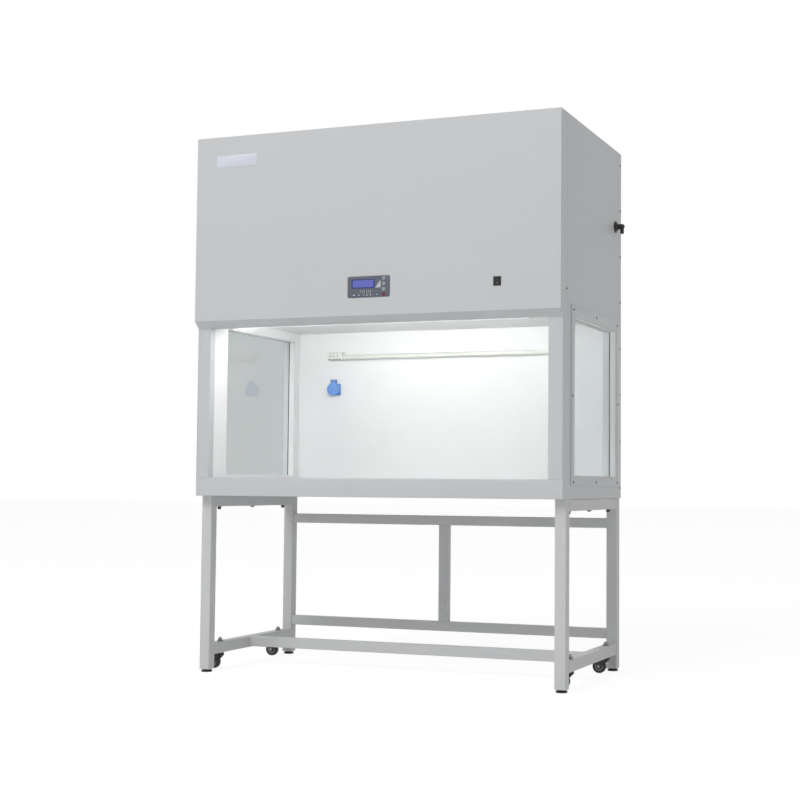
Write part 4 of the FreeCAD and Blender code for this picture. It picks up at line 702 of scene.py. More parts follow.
class CABINET_OT_stand(bpy.types.Operator):
    """Paints the tube stand and lays the weld beads at its joints"""
    bl_idname = "cabinet.stand"
    bl_label = "Stand"

    def execute(self, context):
        dress(stand_coat, "stand_side_left", "stand_side_right", "stand_rear_frame", "stand_stretcher")
        dress(black_nylon, "leg_inserts")
        welds = Piece(stand_coat)
        outer = STAND["mid"] + STAND["tube"] / 2
        inner = STAND["mid"] - STAND["tube"] / 2
        for sign in SIDES.values():
            across = (inner + 0.6, outer - 0.6) if sign > 0 else (0.6 - outer, -0.6 - inner)
            for z in (STAND["low"], STAND["high"]):
                tall = grown(z, -0.6)
                weld_loop(welds, "y", STAND["leg_front"] + STAND["tube"], across, tall)
                weld_loop(welds, "y", STAND["leg_rear"], across, tall)
            for z in ((529.0, 566.0), (119.0, 156.0)):
                weld_loop(welds, "x", sign * inner, grown(STAND["rail_y"], -0.6), grown(z, -0.6))
            weld_loop(welds, "x", sign * inner, grown(STAND["cross_y"], -0.6), (65.6, 101.4))
        for z in (156.0, 529.0):
            weld_loop(welds, "z", z, (-19.4, 19.4), grown(STAND["rail_y"], -0.6))
        welds.done("stand_welds")
        return {"FINISHED"}


class CABINET_OT_stand_bolts(bpy.types.Operator):
    """Bolts with washers under the high rails and nuts inside the base"""
    bl_idname = "cabinet.stand_bolts"
    bl_label = "Stand bolts"

    def execute(self, context):
        bolts = Piece(dark_screw)
        for sign in SIDES.values():
            for y, end_z in ((-216.0, 590.0), (29.0, 595.5), (274.0, 590.0)):
                at = (sign * STAND["mid"], y)
                head = ((0, end_z), (5.6, end_z), (7.4, end_z + 1.1), (7.5, 599.6))
                bolts.lathe("z", at, head, steps=6)
                bolts.lathe("z", at, ((0, 599.6), (9.6, 599.6), (10, 599.9), (10, 600.9)))
                bolts.lathe("z", at, ((4, 600.9), (4, 651.6)), steps=20)
                bolts.lathe("z", at, ((9, 642.6), (9, 643.8)), steps=24)
                bolts.lathe("z", at, ((7.5, 643.8), (7.4, 648.4), (5.6, 649.2)), steps=6)
        bolts.done("stand_hex_bolts", ["stand_bolts"])
        return {"FINISHED"}


def at_corners(places):
    """Each corner's name, its place across the cabinet and its place along the depth."""
    for end_name, y in places.items():
        for side, sign in SIDES.items():
            yield f"{end_name}_{side}", sign * STAND["mid"], y


FEET = {"front": -285.0, "rear": 343.0}


class CABINET_OT_levelling_feet(bpy.types.Operator):
    """Levelling feet: a moulded pad and a threaded stem"""
    bl_idname = "cabinet.levelling_feet"
    bl_label = "Levelling feet"

    def execute(self, context):
        pad = ((0, 0), (18.4, 0), (19.6, 0.7), (20, 2), (20, 5), (19.4, 6.2), (15, 7.4), (12.5, 8.6),
               (11.8, 10), (0, 10))
        thread = [(4.95 if i % 2 else 4.35, 10 + i * 50 / 32) for i in range(33)]
        for corner, *at in at_corners(FEET):
            node = f"levelling_foot_{corner}"
            foot = Piece(black_nylon, zinc_plate)
            foot.lathe("z", at, pad, steps=40)
            foot.lathe("z", at, ((0, 9.9), *thread, (0, 60)), index=1, steps=20)
            foot.done(f"foot_{corner}", [node], body=node)
        return {"FINISHED"}


CASTORS = {"front": -195.0, "rear": 249.0}
TRAIL = 24.0
AXLE_RISE = 26.0


class CABINET_OT_castor_stems(bpy.types.Operator):
    """Castor stems with dome nuts, washers and races"""
    bl_idname = "cabinet.castor_stems"
    bl_label = "Castor stems"

    def execute(self, context):
        stems = Piece(zinc_plate)
        dome = [(7 * cos(radians(a)), 110 + 7 * sin(radians(a))) for a in range(0, 90, 15)]
        turned = (
            (((12, 102), (12.5, 102.3), (12.5, 103.2), (12, 103.5)), 28),
            (((8.4, 103.5), (9.9, 104.4), (9.9, 109.2), (8.2, 110)), 6),
            (((7, 110), *dome, (0, 117)), 24),
            (((6, 51), (6, 102)), 20),
            (((12, 59), (15, 59.6), (15, 61.8), (14, 62)), 32),
            (((6, 48.5), (8, 48.9), (8, 50.5)), 24))
        for _, *at in at_corners(CASTORS):
            for profile, steps in turned:
                stems.lathe("z", at, profile, steps=steps)
        stems.done("castor_stem_nuts", ["castor_stems"])
        return {"FINISHED"}


class CABINET_OT_castor_forks(bpy.types.Operator):
    """Moulded castor forks: a crown with a roof over the wheel and two tapered cheeks"""
    bl_idname = "cabinet.castor_forks"
    bl_label = "Castor forks"

    def execute(self, context):
        for corner, x, y in at_corners(CASTORS):
            node = f"castor_fork_{corner}"
            axle = (x - TRAIL, AXLE_RISE)
            fork = Piece(black_nylon, zinc_plate)
            crown = ((6.3, 51.6), (14, 51.2), (15, 52), (15, 57.6), (14, 58.6), (6.3, 58.6))
            fork.lathe("z", (x, y), crown, steps=36)
            roof = ((-9, 58.4), (-27, 56.8), (-34, 52.2), (-33, 50.6), (-26, 54.4), (-9, 55.2))
            cheek = ((11, 58.2), (-10, 58.2), (-28, 56.6), (-34, 51.5), (-35, 40), (-32.5, 24),
                     (-29, 19.8), (-24, 18.6), (-19, 19.8), (-15.5, 24), (4, 44), (11, 50))
            fork.prism([(x + a, z) for a, z in roof], "y", y - 11.2, y + 11.2, 0.8)
            for low, high in ((y - 13.5, y - 11), (y + 11, y + 13.5)):
                fork.prism([(x + a, z) for a, z in cheek], "y", low, high, 0.9)
            fork.lathe("y", axle, ((3, y - 13.4), (3, y + 13.4)), index=1, steps=20)
            for out in (-1, 1):
                face = y + out * 13.4
                cap = ((5.4, face), (5.2, face + out * 0.9), (3.6, face + out * 1.4),
                       (0, face + out * 1.5))
                fork.lathe("y", axle, cap, index=1, steps=24)
            fork.done(f"fork_{corner}", [node], body=node)
        return {"FINISHED"}


class CABINET_OT_castor_wheels(bpy.types.Operator):
    """Castor wheels: a crowned tread, a grey hub ring and a boss"""
    bl_idname = "cabinet.castor_wheels"
    bl_label = "Castor wheels"

    def execute(self, context):
        rim = [(19.6, 7.6), (19.8, 9.6), (21.6, 10), (23.4, 9.2), (24.6, 7), (25, 3.5)]
        web = [(3.2, 9.4), (6.6, 9.6), (7.2, 9.0), (8.2, 7.4), (19.7, 7.4)]
        ring = [(11.2, 7.3), (11.6, 8.6), (12.3, 9.1), (14.2, 9.1), (14.9, 8.6), (15.3, 7.3)]
        for corner, x, y in at_corners(CASTORS):
            node = f"castor_wheel_{corner}"
            axle = (x - TRAIL, AXLE_RISE)
            wheel = Piece(tread, hub_nylon)
            tyre = [(r, y - w) for r, w in rim] + [(r, y + w) for r, w in rim[::-1]]
            wheel.lathe("y", axle, tyre, steps=48)
            for out in (-1, 1):
                wheel.lathe("y", axle, [(r, y + out * w) for r, w in web], steps=40)
                wheel.lathe("y", axle, [(r, y + out * w) for r, w in ring], index=1, steps=48)
            wheel.done(f"wheel_{corner}", [node], body=node)
        return {"FINISHED"}


class CABINET_OT_base(bpy.types.Operator):
    """Base tray with rounded folds, and the brushed worktop in its mouth"""
    bl_idname = "cabinet.base"
    bl_label = "Base and worktop"

    def execute(self, context):
        bend = sizes().bend / MM
        x, y, z = spans("base_tray")
        back = span("rear_liner", "y")[0]
        side = span("side_liner_right", "x")[0]
        tray = Piece(shell_coat)
        path = ((y[0] + 1.4, z[1]), (y[0], z[1]), (y[0], z[0]), (y[1], z[0]), (y[1], z[1]),
                (back, z[1]))
        tray.folded(path[::-1], SHEET, "x", x[0], x[1], bend)
        for sign in SIDES.values():
            end_wall = mirrored(sign, x[1], x[1] - SHEET)
            tray.block(end_wall, grown(y, -bend), (z[0] + 1, z[1] - 1), 0)
            shelf = mirrored(sign, x[1], side)
            tray.block(shelf, (y[0] + 2, y[1] - 1), (z[1] - SHEET, z[1]), 0.3)
        tray.done("base_tray_folded", ["base_tray"])
        dress(brushed_stainless, "work_surface")
        return {"FINISHED"}


class CABINET_OT_columns(bpy.types.Operator):
    """Folded channels either side of the opening"""
    bl_idname = "cabinet.columns"
    bl_label = "Front columns"

    def execute(self, context):
        y = span("front_columns", "y")
        z = span("front_columns", "z")
        side = span("side_liner_right", "x")[0]
        outer = span("front_columns", "x")[1]
        columns = Piece(shell_coat)
        for sign in SIDES.values():
            inside, outside = sign * side, sign * outer
            path = [(inside, y[1]), (inside, y[0]), (outside, y[0]), (outside, y[1])]
            path = path[::-1] if sign > 0 else path
            columns.folded(path, SHEET, "z", z[0] + 0.4, z[1] - 0.3, 1.8)
        columns.done("front_column_channels", ["front_columns"])
        return {"FINISHED"}


class CABINET_OT_skins(bpy.types.Operator):
    """Paints the side skins"""
    bl_idname = "cabinet.skins"
    bl_label = "Side skins"

    def execute(self, context):
        dress(shell_coat, "side_skin_left", "side_skin_right")
        return {"FINISHED"}


class CABINET_OT_chamber(bpy.types.Operator):
    """Paints the chamber walls and the cross beam, and makes the perforated ceiling sheet"""
    bl_idname = "cabinet.chamber"
    bl_label = "Chamber"

    def execute(self, context):
        dress(chamber_coat, "side_liner_left", "side_liner_right", "rear_liner", "front_beam")
        x, y, z = spans("diffuser")
        ceiling = Piece(perforated_coat, chamber_coat)
        ceiling.block(grown(x, -14), grown(y, -14), (z[0], z[0] + 1.2), 0)
        ceiling.frame("z", z[0], z[1], (x, y), (grown(x, -14), grown(y, -14)), 0.4, 1)
        ceiling.done("diffuser_sheet", ["diffuser"])
        return {"FINISHED"}


WINDOW = ((-226.0, 300.0), (721.0, 1261.0))


class CABINET_OT_windows(bpy.types.Operator):
    """Side glass, its gaskets and the bezels over them"""
    bl_idname = "cabinet.windows"
    bl_label = "Side windows"

    def execute(self, context):
        dress(float_glass, "side_glass")
        dress(black_rubber, "glass_gaskets")
        x = span("glass_bezels", "x")[1]
        outer = (span("glass_bezels", "y"), span("glass_bezels", "z"))
        seat = span("glass_gaskets", "x")[1]
        bezels = Piece(shell_coat, chamber_coat)
        for sign in SIDES.values():
            low, high = mirrored(sign, x - 3, x)
            bezels.frame("x", low, high, outer, WINDOW, 0.8)
            low, high = mirrored(sign, seat, x - 2.9)
            collar = (grown(WINDOW[0], 1.5), grown(WINDOW[1], 1.5))
            bezels.frame("x", low, high, collar, WINDOW, 0, 1)
        bezels.done("window_bezels", ["glass_bezels"])
        return {"FINISHED"}


BEZEL_SCREWS = [(y, z) for z in (699.0, 1285.0) for y in (-236.0, 37.0, 311.0)]
BEZEL_SCREWS += [(-247.0, 991.0), (322.0, 991.0)]
REAR_SCREWS = [(362.0, 679.0 + i * (1903.0 - 679.0) / 7) for i in range(8)]
HOOD_SCREWS = [(-310.0, 1348.0)]


class CABINET_OT_screws(bpy.types.Operator):
    """Pan-head screws on both sides, each with a flat dark cross on its dome, painted shade of its
    cross recess
    """
    bl_idname = "cabinet.screws"
    bl_label = "Panel screws"

    def execute(self, context):
        screws = Piece(dark_screw, slot_painted_shade)
        rows = [(y, z, BEZEL_FACE) for y, z in BEZEL_SCREWS]
        rows += [(y, z, SIDE_FACE) for y, z in REAR_SCREWS + HOOD_SCREWS]
        dome = ((4.0, 0.0), (4.0, 0.5), (3.7, 1.2), (3.0, 1.7), (2.0, 1.95), (0, 2.0))
        for sign in SIDES.values():
            for number, (y, z, face) in enumerate(rows):
                screws.lathe("x", (y, z), [(r, sign * (face + h)) for r, h in dome], steps=20)
                turn = number * 0.7
                # A flat dark cross laid on the dome, not cut into it: painted shade of the cross
                # recess
                for quarter in (0, pi / 2):
                    a, b = cos(turn + quarter), sin(turn + quarter)
                    bar = [(y + a * u * 1.9 - b * v * 0.35, z + b * u * 1.9 + a * v * 0.35)
                           for u, v in ((-1, -1), (1, -1), (1, 1), (-1, 1))]
                    low, high = mirrored(sign, face + 1.2, face + 2.02)
                    screws.prism(bar, "x", low, high, 0, 1)
        screws.done("panel_pan_screws", ["panel_screws"])
        return {"FINISHED"}


LIP_FRONT, LIP_REAR, BEVEL_TOP = -347.0, -332.0, 1275.0


class CABINET_OT_hood(bpy.types.Operator):
    """The hood's front cover: face, bevel, lip and cheeks folded from one sheet"""
    bl_idname = "cabinet.hood"
    bl_label = "Hood cover"

    def execute(self, context):
        x, y, z = spans("hood_cover")
        rear = y[1] - sizes().seam / MM
        profile = ((LIP_FRONT, z[0]), (LIP_REAR, z[0]), (rear, z[0]), (rear, z[1]), (y[0], z[1]),
                   (y[0], BEVEL_TOP))
        part = bmesh.new()
        ends = [[part.verts.new((at, a, b)) for a, b in profile] for at in x]
        for side in ends:
            part.faces.new(side)
        for i in (0, 3, 4, 5):
            j = (i + 1) % 6
            part.faces.new((ends[0][i], ends[0][j], ends[1][j], ends[1][i]))
        bmesh.ops.recalc_face_normals(part, faces=part.faces)
        front = [face for face in part.faces if face.calc_center_median().y < HOOD_FACE + 5]
        if sum(face.normal.y for face in front) > 0:
            bmesh.ops.reverse_faces(part, faces=part.faces)
        soften(part, sizes().bend / MM, 4)
        inner = bmesh.ops.solidify(part, geom=part.faces[:], thickness=SHEET)
        if not inner["geom"]:
            raise RuntimeError("the hood sheet has no thickness")
        hood = Piece(shell_coat)
        hood.take(part, 0)
        through = (HOOD_FACE - 5, HOOD_FACE + 7)
        mouths = [((-77.0, 73.0), through, (1337.7, 1410.0)),
                  ((463.0, 487.0), through, (1360.0, 1388.0))]
        hood.done("hood_front_cover", ["hood_cover"], cuts=mouths)
        return {"FINISHED"}


class CABINET_OT_rear_panel(bpy.types.Operator):
    """Full-height back cover with folded flanges"""
    bl_idname = "cabinet.rear_panel"
    bl_label = "Rear panel"

    def execute(self, context):
        x, y, z = spans("rear_panel")
        path = ((x[0], y[0]), (x[0], y[1]), (x[1], y[1]), (x[1], y[0]))
        panel = Piece(shell_coat)
        panel.folded(path, SHEET, "z", z[0], z[1], sizes().bend / MM)
        panel.done("rear_panel_folded", ["rear_panel"])
        return {"FINISHED"}


class CABINET_OT_roof(bpy.types.Operator):
    """Paints the roof and makes the prefilters under its intakes"""
    bl_idname = "cabinet.roof"
    bl_label = "Roof and prefilters"

    def execute(self, context):
        dress(shell_coat, "top_panel")
        y = span("prefilters", "y")
        z = span("prefilters", "z")
        outer = span("prefilters", "x")[1]
        width = y[1] - y[0]
        filters = Piece(anodised_aluminium, fleece, zinc_plate)
        for sign in SIDES.values():
            x = mirrored(sign, outer, outer - width)
            mouth = (grown(x, -15), grown(y, -15))
            filters.frame("z", z[0], z[1], (x, y), mouth, 0.6)
            filters.block(grown(x, -14), grown(y, -14), (z[0] + 3, z[1] - 5), 0, 1)
            for step in range(-7, 8):
                across = (x[0] + x[1]) / 2 + step * 26
                along = (y[0] + y[1]) / 2 + step * 26
                low, high = z[1] - 4, z[1] - 2.5
                for wire in ([(across, y[0] + 10, low), (across, y[1] - 10, low)],
                             [(x[0] + 10, along, high), (x[1] - 10, along, high)]):
                    filters.sweep(wire, 0.9, 2, 6)
        filters.done("prefilter_frames", ["prefilters"])
        return {"FINISHED"}


class CABINET_OT_filter(bpy.types.Operator):
    """Finishes of the fine filter and the plenum deck"""
    bl_idname = "cabinet.filter"
    bl_label = "Fine filter"

    def execute(self, context):
        dress(anodised_aluminium, "filter_frame")
        dress(filter_paper, "filter_pack")
        dress(galvanised_steel, "plenum_deck")
        return {"FINISHED"}


class CABINET_OT_blowers(bpy.types.Operator):
    """Finishes of the blowers and their motors"""
    bl_idname = "cabinet.blowers"
    bl_label = "Blowers"

    def execute(self, context):
        dress(galvanised_steel, "blower_housings", "blower_wheel_left", "blower_wheel_right")
        dress(cast_aluminium, "blower_motors")
        return {"FINISHED"}


class CABINET_OT_lamps(bpy.types.Operator):
    """The lit chamber lamp, the germicidal tube and their holders"""
    bl_idname = "cabinet.lamps"
    bl_label = "Lamps"

    def execute(self, context):
        self.tube("lamp_tube", "lamp_tube_lit", (lit_tube, anodised_aluminium), 12.6, 22,
                  ((13, 23), (13, 2), (12, 0.4), (0, 0)), 28)
        z = self.tube("uv_tube", "uv_tube_glass", (quartz_tube, white_polycarbonate), 8.8, 14,
                      ((9, 16), (9, 1.5), (8.2, 0.2), (0, 0)), 24)
        holders = Piece(white_polycarbonate, slot_painted_shade)
        wall = span("rear_liner", "y")[0]
        middle = z + 5.5
        for sign in SIDES.values():
            low, high = mirrored(sign, 585.2, 607.0)
            holders.block((low, high), (-315.0, -289.0), (1252.5, 1281.8), 2.0, 0, 3)
            low, high = mirrored(sign, 441.2, 504.0)
            holders.block((low, high), (wall - 34, wall), (middle - 16.2, middle + 16.2), 2.5, 0, 3)
            face = (wall - 34.2, wall - 33)
            # Dark dashes and discs in the slot finish on the holder's face: painted shade in place of
            # slots and holes that are not cut; the lower row nearly joins into one dark line along the
            # lower edge
            for number in range(4):
                at = low + 6 + number * 14.5
                holders.block((at - 2, at + 9), face, (middle - 14.8, middle - 12), 0.2, 1)
            for number in range(3):
                at = low + 12 + number * 16
                holders.block((at - 4, at + 2), face, (middle + 11, middle + 12.6), 0.2, 1)
                ring = ((2.4, wall - 33.8), (2.4, wall - 34.2), (0, wall - 34.2))
                holders.lathe("y", (at, middle - 1), ring, index=1, steps=16)
        holders.done("lamp_holder_blocks", ["lamp_holders"])
        return {"FINISHED"}

    def tube(self, node, name, finishes, radius, cap_length, cap, steps):
        """A lamp tube with a cap at each end, drawn as radius and place from the end. It gives
        the height of the tube's middle."""
        x, y, z = spans(node)
        half = x[1]
        centre = (sum(y) / 2, sum(z) / 2)
        tube = Piece(*finishes)
        clear = half - cap_length
        tube.lathe("x", centre, ((radius, -clear), (radius, clear)), steps=steps)
        for sign in SIDES.values():
            profile = [(r, sign * (half - a)) for r, a in cap]
            tube.lathe("x", centre, profile, index=1, steps=steps)
        tube.done(name, [node])
        return centre[1]


PANEL_FACE = HOOD_FACE - 1.6
KEY_X = 56.0
KEYS = {"key_power": 1345.5, "key_lamp": 1364.5, "key_uv": 1383.5, "key_fan": 1402.5}


class CABINET_OT_control_panel(bpy.types.Operator):
    """Control panel: printed film plate with display, marks and keys"""
    bl_idname = "cabinet.control_panel"
    bl_label = "Control panel"

    def execute(self, context):
        x = span("control_panel", "x")
        z = span("control_panel", "z")
        window = (span("display", "x"), span("display", "z"))
        plate = Piece(printed_polyester)
        outline = rounded_rectangle(x, z, sizes().panel_corner / MM)
        plate.prism(outline, "y", PANEL_FACE, HOOD_FACE, 0.35)
        holes = [(grown(window[0], 0.3), (-380.0, -372.0), grown(window[1], 0.3))]
        holes += [("y", (KEY_X, level), -380.0, -372.0, 7.3) for level in KEYS.values()]
        plate.done("control_panel_plate", ["control_panel"], cuts=holes)

        glass = Piece(backlit_display, display_rim)
        lit = (grown(window[0], -5), grown(window[1], -4.5))
        glass.block(lit[0], (-376.2, -369.0), lit[1], 0)
        glass.frame("y", -376.3, -369.0, window, lit, 0.2, 1)
        glass.done("display_window", ["display"])

        marks = Piece(printed_mark, printed_patch)
        face = (PANEL_FACE - 0.08, PANEL_FACE + 0.3)
        marks.prism(((23, 1370), (44, 1370), (44, 1397)), "y", *face)
        for at in (-31, -24, -17, -8, -1, 6):
            marks.block((at - 0.7, at + 0.7), face, (1352, 1363), 0)
        lower = ((-58, 4, 5), (-39, 3, 4), (-20, 2, 5), (-8, 2.4, 6), (5, 2.2, 7), (30, 3, 4))
        for at, wide, tall in lower:
            spot = (at - wide, at + wide)
            mark = rounded_rectangle(spot, (1346 - tall / 2, 1346 + tall / 2), 1.0, 3)
            marks.prism(mark, "y", *face)
            patch = rounded_rectangle(grown(spot, 2), (1340.5, 1351), 1.4, 3)
            marks.prism(patch, "y", PANEL_FACE - 0.04, face[1], 0, 1)
        marks.done("panel_marks")

        for name, level in KEYS.items():
            red = name == "key_power"
            key = Piece(red_silicone if red else key_silicone)
            low = span(name, "y")
            cap = ((0, low[1]), (7, low[1]), (7, low[0] + 0.7), (6.6, low[0] + 0.25), (5.1, low[0]),
                   (4.2, low[0] + 0.35), (0, low[0] + 0.5))
            key.lathe("y", (KEY_X, level), cap, steps=32)
            key.done(f"{name}_cap", [name], body=name)
        dress(board_laminate, "control_board")
        return {"FINISHED"}


class CABINET_OT_rocker(bpy.types.Operator):
    """Mains rocker with its case and generic on and off marks"""
    bl_idname = "cabinet.rocker"
    bl_label = "Mains rocker"

    def execute(self, context):
        x = span("rocker_case", "x")
        z = span("rocker_case", "z")
        middle = (sum(x) / 2, sum(z) / 2)
        case = Piece(black_nylon)
        well = ((middle[0] - 8.3, middle[0] + 8.3), (middle[1] - 10.4, middle[1] + 10.4))
        case.frame("y", HOOD_FACE - 2, HOOD_FACE, (x, z), well, 0.7)
        body = (grown(x, -2.3), grown(z, -2.3))
        case.frame("y", HOOD_FACE, HOOD_FACE + 11, body, well, 0)
        case.block(body[0], (HOOD_FACE + 11, HOOD_FACE + 22), body[1], 0.3)
        case.done("rocker_case_moulding", ["rocker_case"])

        rocker = Piece(black_nylon, printed_mark)
        tip = radians(10)

        def tipped(a, b):
            return (-373.0 + a * cos(tip) - b * sin(tip), middle[1] + a * sin(tip) + b * cos(tip))

        outline = [tipped(a, b) for a, b in (
            (-4.4, -9), (-4.9, -8), (-4.2, -3), (-4.0, 0), (-4.2, 3), (-4.9, 8), (-4.4, 9),
            (4, 9), (4, -9))]
        rocker.prism(outline, "x", middle[0] - 8, middle[0] + 8, 0.5)
        mark = [tipped(a, b) for a, b in ((-4.65, 4), (-4.65, 7.4), (-4.0, 7.4), (-4.0, 4))]
        rocker.prism(mark, "x", middle[0] - 0.5, middle[0] + 0.5, 0, 1)
        ring = []
        for i in range(24):
            angle = 2 * pi * i / 24
            a, b = tipped(-4.6, -5.5 + 1.7 * sin(angle))
            ring.append((middle[0] + 1.7 * cos(angle), a, b))
        rocker.sweep(ring, 0.25, 1, 6, closed=True)
        rocker.done("rocker_paddle", ["rocker"], body="rocker")
        return {"FINISHED"}


class CABINET_OT_badge(bpy.types.Operator):
    """The blank plate at the upper left of the hood"""
    bl_idname = "cabinet.badge"
    bl_label = "Blank plate"

    def execute(self, context):
        x = span("badge_plate", "x")
        z = span("badge_plate", "z")
        plate = Piece(printed_label)
        plate.prism(rounded_rectangle(x, z, 5), "y", HOOD_FACE - 1, HOOD_FACE, 0.3)
        plate.done("blank_plate", ["badge_plate"])
        return {"FINISHED"}


SOCKET_PIN = (321, 1103)


class CABINET_OT_socket(bpy.types.Operator):
    """Chamber socket: body with hinge ears, and its sprung flap"""
    bl_idname = "cabinet.socket"
    bl_label = "Chamber socket"

    def execute(self, context):
        x = span("socket_body", "x")
        z = (1045.0, 1091.0)
        middle = (sum(x) / 2, sum(z) / 2)
        body = Piece(blue_polyamide, slot_painted_shade, zinc_plate)
        body.prism(rounded_rectangle(x, z, 6), "y", 337.0, 343.0, 1.2)
        barrel = ((18, 336), (18, 321.3), (20.7, 321.3), (20.7, 369))
        body.lathe("y", middle, ((0, 337), *barrel, (0, 369)), steps=36)
        for low in (middle[0] - 12, middle[0] + 7.5):
            body.block((low, low + 4.5), (321.3, 330.0), (1083.0, 1106.8), 0.8)
            body.lathe("x", SOCKET_PIN, ((0, low), (4, low), (4, low + 4.5), (0, low + 4.5)), steps=24)
        body.sweep([(middle[0] - 12, *SOCKET_PIN), (middle[0] + 12, *SOCKET_PIN)], 1.9, 2, 14)
        body.done("socket_moulding", ["socket_body"])

        flap = Piece(blue_polyamide)
        lid = ((0, 321), (25, 321), (26, 320), (26, 316.6), (25.4, 315.6), (24.2, 315), (0, 315))
        flap.lathe("y", middle, lid, steps=48)
        knuckle = (middle[0] - 7.2, middle[0] + 7.2)
        flap.block(knuckle, (315.6, 320.8), (1086.0, 1104.0), 0.8)
        flap.lathe("x", SOCKET_PIN, rectangle((2.1, 3.9), knuckle), steps=24)
        flap.done("socket_flap_lid", ["socket_flap"], body="socket_flap")
        return {"FINISHED"}


class CABINET_OT_gland(bpy.types.Operator):
    """Elbow cable gland on the right side"""
    bl_idname = "cabinet.gland"
    bl_label = "Cable gland"

    def execute(self, context):
        gland = Piece(black_nylon)
        at = (295.0, 1657.0)
        flange = ((9.9, 700.0), (20.9, 700.0), (21.5, 700.7), (21.5, 703.8), (20.4, 705.0),
                  (9.9, 705.0))
        gland.lathe("x", at, flange, steps=40)
        nut = ((9.9, 704.8), (15.5, 704.8), (14.6, 708.5), (12.2, 711.0), (9.9, 711.0))
        gland.lathe("x", at, nut, steps=6)
        crown = [(10 * cos(pi / 16 * i), 726 + 10 * sin(pi / 16 * i)) for i in range(8)]
        gland.lathe("x", at, ((0, 688.2), (9.6, 688.2), (10, 688.6), *crown, (0, 736)), steps=36)
        leg = ((4.6, 1630.1), (6.5, 1630.1), (7, 1630.7), (7, 1655))
        gland.lathe("z", (726.0, at[0]), leg, steps=32)
        gland.lathe("x", at, ((9, 690.0), (13.5, 690.0), (13.5, 697.0), (9, 697.0)), steps=6)
        gland.done("cable_gland_elbow", ["cable_gland"])
        return {"FINISHED"}


CAMERA = {"turn": (0.05755563963, 0.00695373817, 0.36353056334),
          "at": (2.165785, -4.974395, 0.689307), "lens": 65.853, "shift": -0.10}
KEY_LIGHT = {"at": (-2.2, -8.5, 8.5), "aim": (0, 0, 1.1), "size": 5.0, "power": 530.0}
FLOOR_REACH = 40.0
FLOOR_WHITE, FLOOR_WHITE_SHARE = 1.11, 0.8
WORLD_SOFT, WORLD_WHITE, WORLD_THROUGH_GLASS = 0.46, 1.0, -0.7


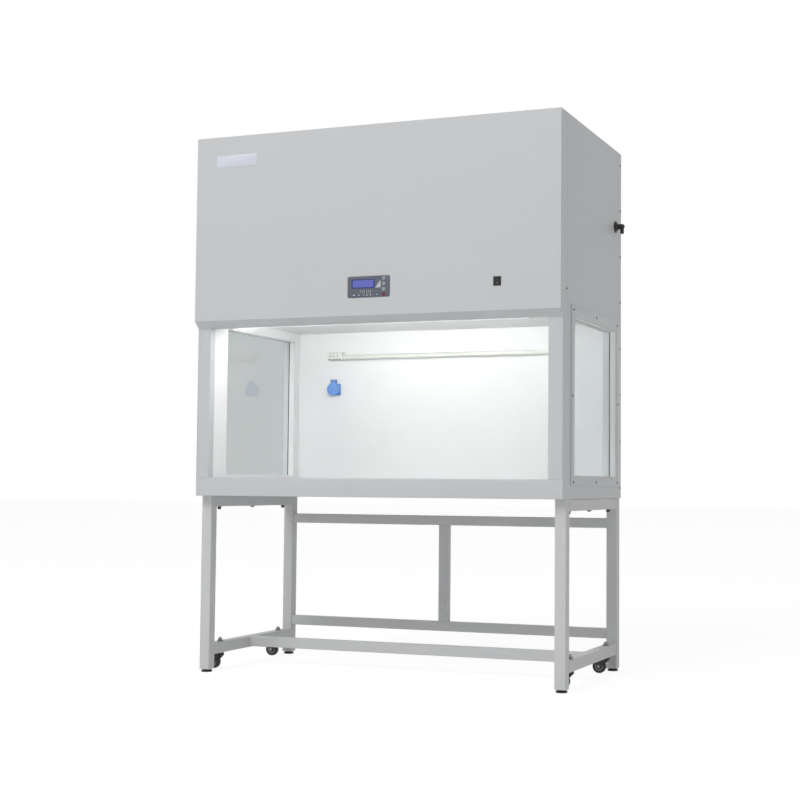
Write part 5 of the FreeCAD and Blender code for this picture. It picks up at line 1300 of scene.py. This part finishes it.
class CABINET_OT_stage(bpy.types.Operator):
    """Pale floor, soft studio light, white surroundings and the photograph's camera"""
    bl_idname = "cabinet.stage"
    bl_label = "Stage"

    def execute(self, context):
        self.floor()
        self.surroundings()
        self.key_light()
        self.camera()
        return {"FINISHED"}

    def floor(self):
        reach = FLOOR_REACH
        shape = bpy.data.meshes.new("floor")
        corners = [(-reach, -reach, 0), (reach, -reach, 0), (reach, reach, 0), (-reach, reach, 0)]
        shape.from_pydata(corners, [], [(0, 1, 2, 3)])
        made, tree = begin("studio_paper_floor")
        grain = add(tree, "TexNoise", {"Vector": place(tree), "Scale": 3.0, "Detail": 2})
        shade = colours().background
        tone = vary(tree, grain.outputs[0], darker(shade, 0.99), tuple(shade))
        paper = add(tree, "BsdfDiffuse", {"Color": tone})
        white = add(tree, "Emission", {"Color": (1, 1, 1), "Strength": FLOOR_WHITE})
        ray = add(tree, "LightPath")
        seen = add(tree, "Math", {0: ray.outputs["Is Camera Ray"], 1: ray.outputs["Is Glossy Ray"]},
                   operation="MAXIMUM")
        seen = add(tree, "Math", {0: seen.outputs[0], 1: ray.outputs["Is Transmission Ray"]},
                   operation="MAXIMUM")
        share = add(tree, "Math", {0: seen.outputs[0], 1: FLOOR_WHITE_SHARE}, operation="MULTIPLY")
        shape.materials.append(end(made, add(tree, "MixShader", {
            0: share.outputs[0], 1: paper.outputs[0], 2: white.outputs[0]})))
        floor = bpy.data.objects.new("floor", shape)
        bpy.context.scene.collection.objects.link(floor)

    def surroundings(self):
        world = bpy.data.worlds.new("studio")
        bpy.context.scene.world = world
        world.use_nodes = True
        tree = world.node_tree
        tree.nodes.clear()
        soft = add(tree, "Background", {"Color": (1, 1, 1), "Strength": WORLD_SOFT})
        white = add(tree, "Background", {"Color": (1, 1, 1), "Strength": WORLD_WHITE})
        ray = add(tree, "LightPath")
        seen = add(tree, "Math", {0: ray.outputs["Is Camera Ray"], 1: ray.outputs["Is Glossy Ray"]},
                   operation="MAXIMUM")
        seen = add(tree, "Math", {0: ray.outputs["Is Transmission Ray"], 1: WORLD_THROUGH_GLASS,
                                  2: seen.outputs[0]}, operation="MULTIPLY_ADD")
        mixed = add(tree, "MixShader", {0: seen.outputs[0], 1: soft.outputs[0], 2: white.outputs[0]})
        add(tree, "OutputWorld", {"Surface": mixed.outputs[0]})

    def key_light(self):
        light = bpy.data.lights.new("key_light", "AREA")
        light.size = KEY_LIGHT["size"]
        light.energy = KEY_LIGHT["power"]
        lamp = bpy.data.objects.new("key_light", light)
        bpy.context.scene.collection.objects.link(lamp)
        lamp.location = KEY_LIGHT["at"]
        aim = Vector(KEY_LIGHT["aim"]) - Vector(KEY_LIGHT["at"])
        lamp.rotation_euler = aim.to_track_quat("-Z", "Y").to_euler()

    def camera(self):
        pitch, roll, turn = CAMERA["turn"]
        ahead = Vector((-sin(turn) * cos(pitch), cos(turn) * cos(pitch), sin(pitch)))
        level = Vector((cos(turn), sin(turn), 0))
        above = level.cross(ahead)
        right = cos(roll) * level + sin(roll) * above
        up = cos(roll) * above - sin(roll) * level
        data = bpy.data.cameras.new("camera")
        data.sensor_width = 36.0
        data.lens = CAMERA["lens"]
        data.shift_x = CAMERA["shift"]
        data.clip_end = 200.0
        camera = bpy.data.objects.new("camera", data)
        basis = Matrix((right, up, -ahead)).transposed().to_4x4()
        camera.matrix_world = Matrix.Translation(CAMERA["at"]) @ basis
        bpy.context.scene.collection.objects.link(camera)
        bpy.context.scene.camera = camera
        bpy.context.scene.view_settings.view_transform = "Standard"


OPERATORS = (
    CABINET_OT_stage, CABINET_OT_stand, CABINET_OT_stand_bolts, CABINET_OT_levelling_feet,
    CABINET_OT_castor_stems, CABINET_OT_castor_forks, CABINET_OT_castor_wheels, CABINET_OT_base,
    CABINET_OT_columns, CABINET_OT_skins, CABINET_OT_chamber, CABINET_OT_windows, CABINET_OT_screws,
    CABINET_OT_hood, CABINET_OT_rear_panel, CABINET_OT_roof, CABINET_OT_filter, CABINET_OT_blowers,
    CABINET_OT_lamps, CABINET_OT_control_panel, CABINET_OT_rocker, CABINET_OT_badge,
    CABINET_OT_socket, CABINET_OT_gland,
)


class CABINET_PT_tools(bpy.types.Panel):
    """Lists the sizes, the colours and the pieces"""
    bl_idname = "CABINET_PT_tools"
    bl_label = "Laminar flow cabinet"
    bl_space_type = "VIEW_3D"
    bl_region_type = "UI"
    bl_category = "Cabinet"

    def draw(self, context):
        for group in (context.scene.cabinet_sizes, context.scene.cabinet_colours):
            column = self.layout.column(align=True)
            for name in group.__annotations__:
                column.prop(group, name)
        column = self.layout.column(align=True)
        for operator in OPERATORS:
            column.operator(operator.bl_idname)


CLASSES = (CabinetSizes, CabinetColours, *OPERATORS, CABINET_PT_tools)


def register():
    for item in CLASSES:
        bpy.utils.register_class(item)
    bpy.types.Scene.cabinet_sizes = PointerProperty(type=CabinetSizes)
    bpy.types.Scene.cabinet_colours = PointerProperty(type=CabinetColours)


def unregister():
    del bpy.types.Scene.cabinet_colours
    del bpy.types.Scene.cabinet_sizes
    for item in reversed(CLASSES):
        bpy.utils.unregister_class(item)


def main():
    register()
    for operator in OPERATORS:
        group, name = operator.bl_idname.split(".")
        getattr(getattr(bpy.ops, group), name)()


if __name__ == "__main__":
    main()
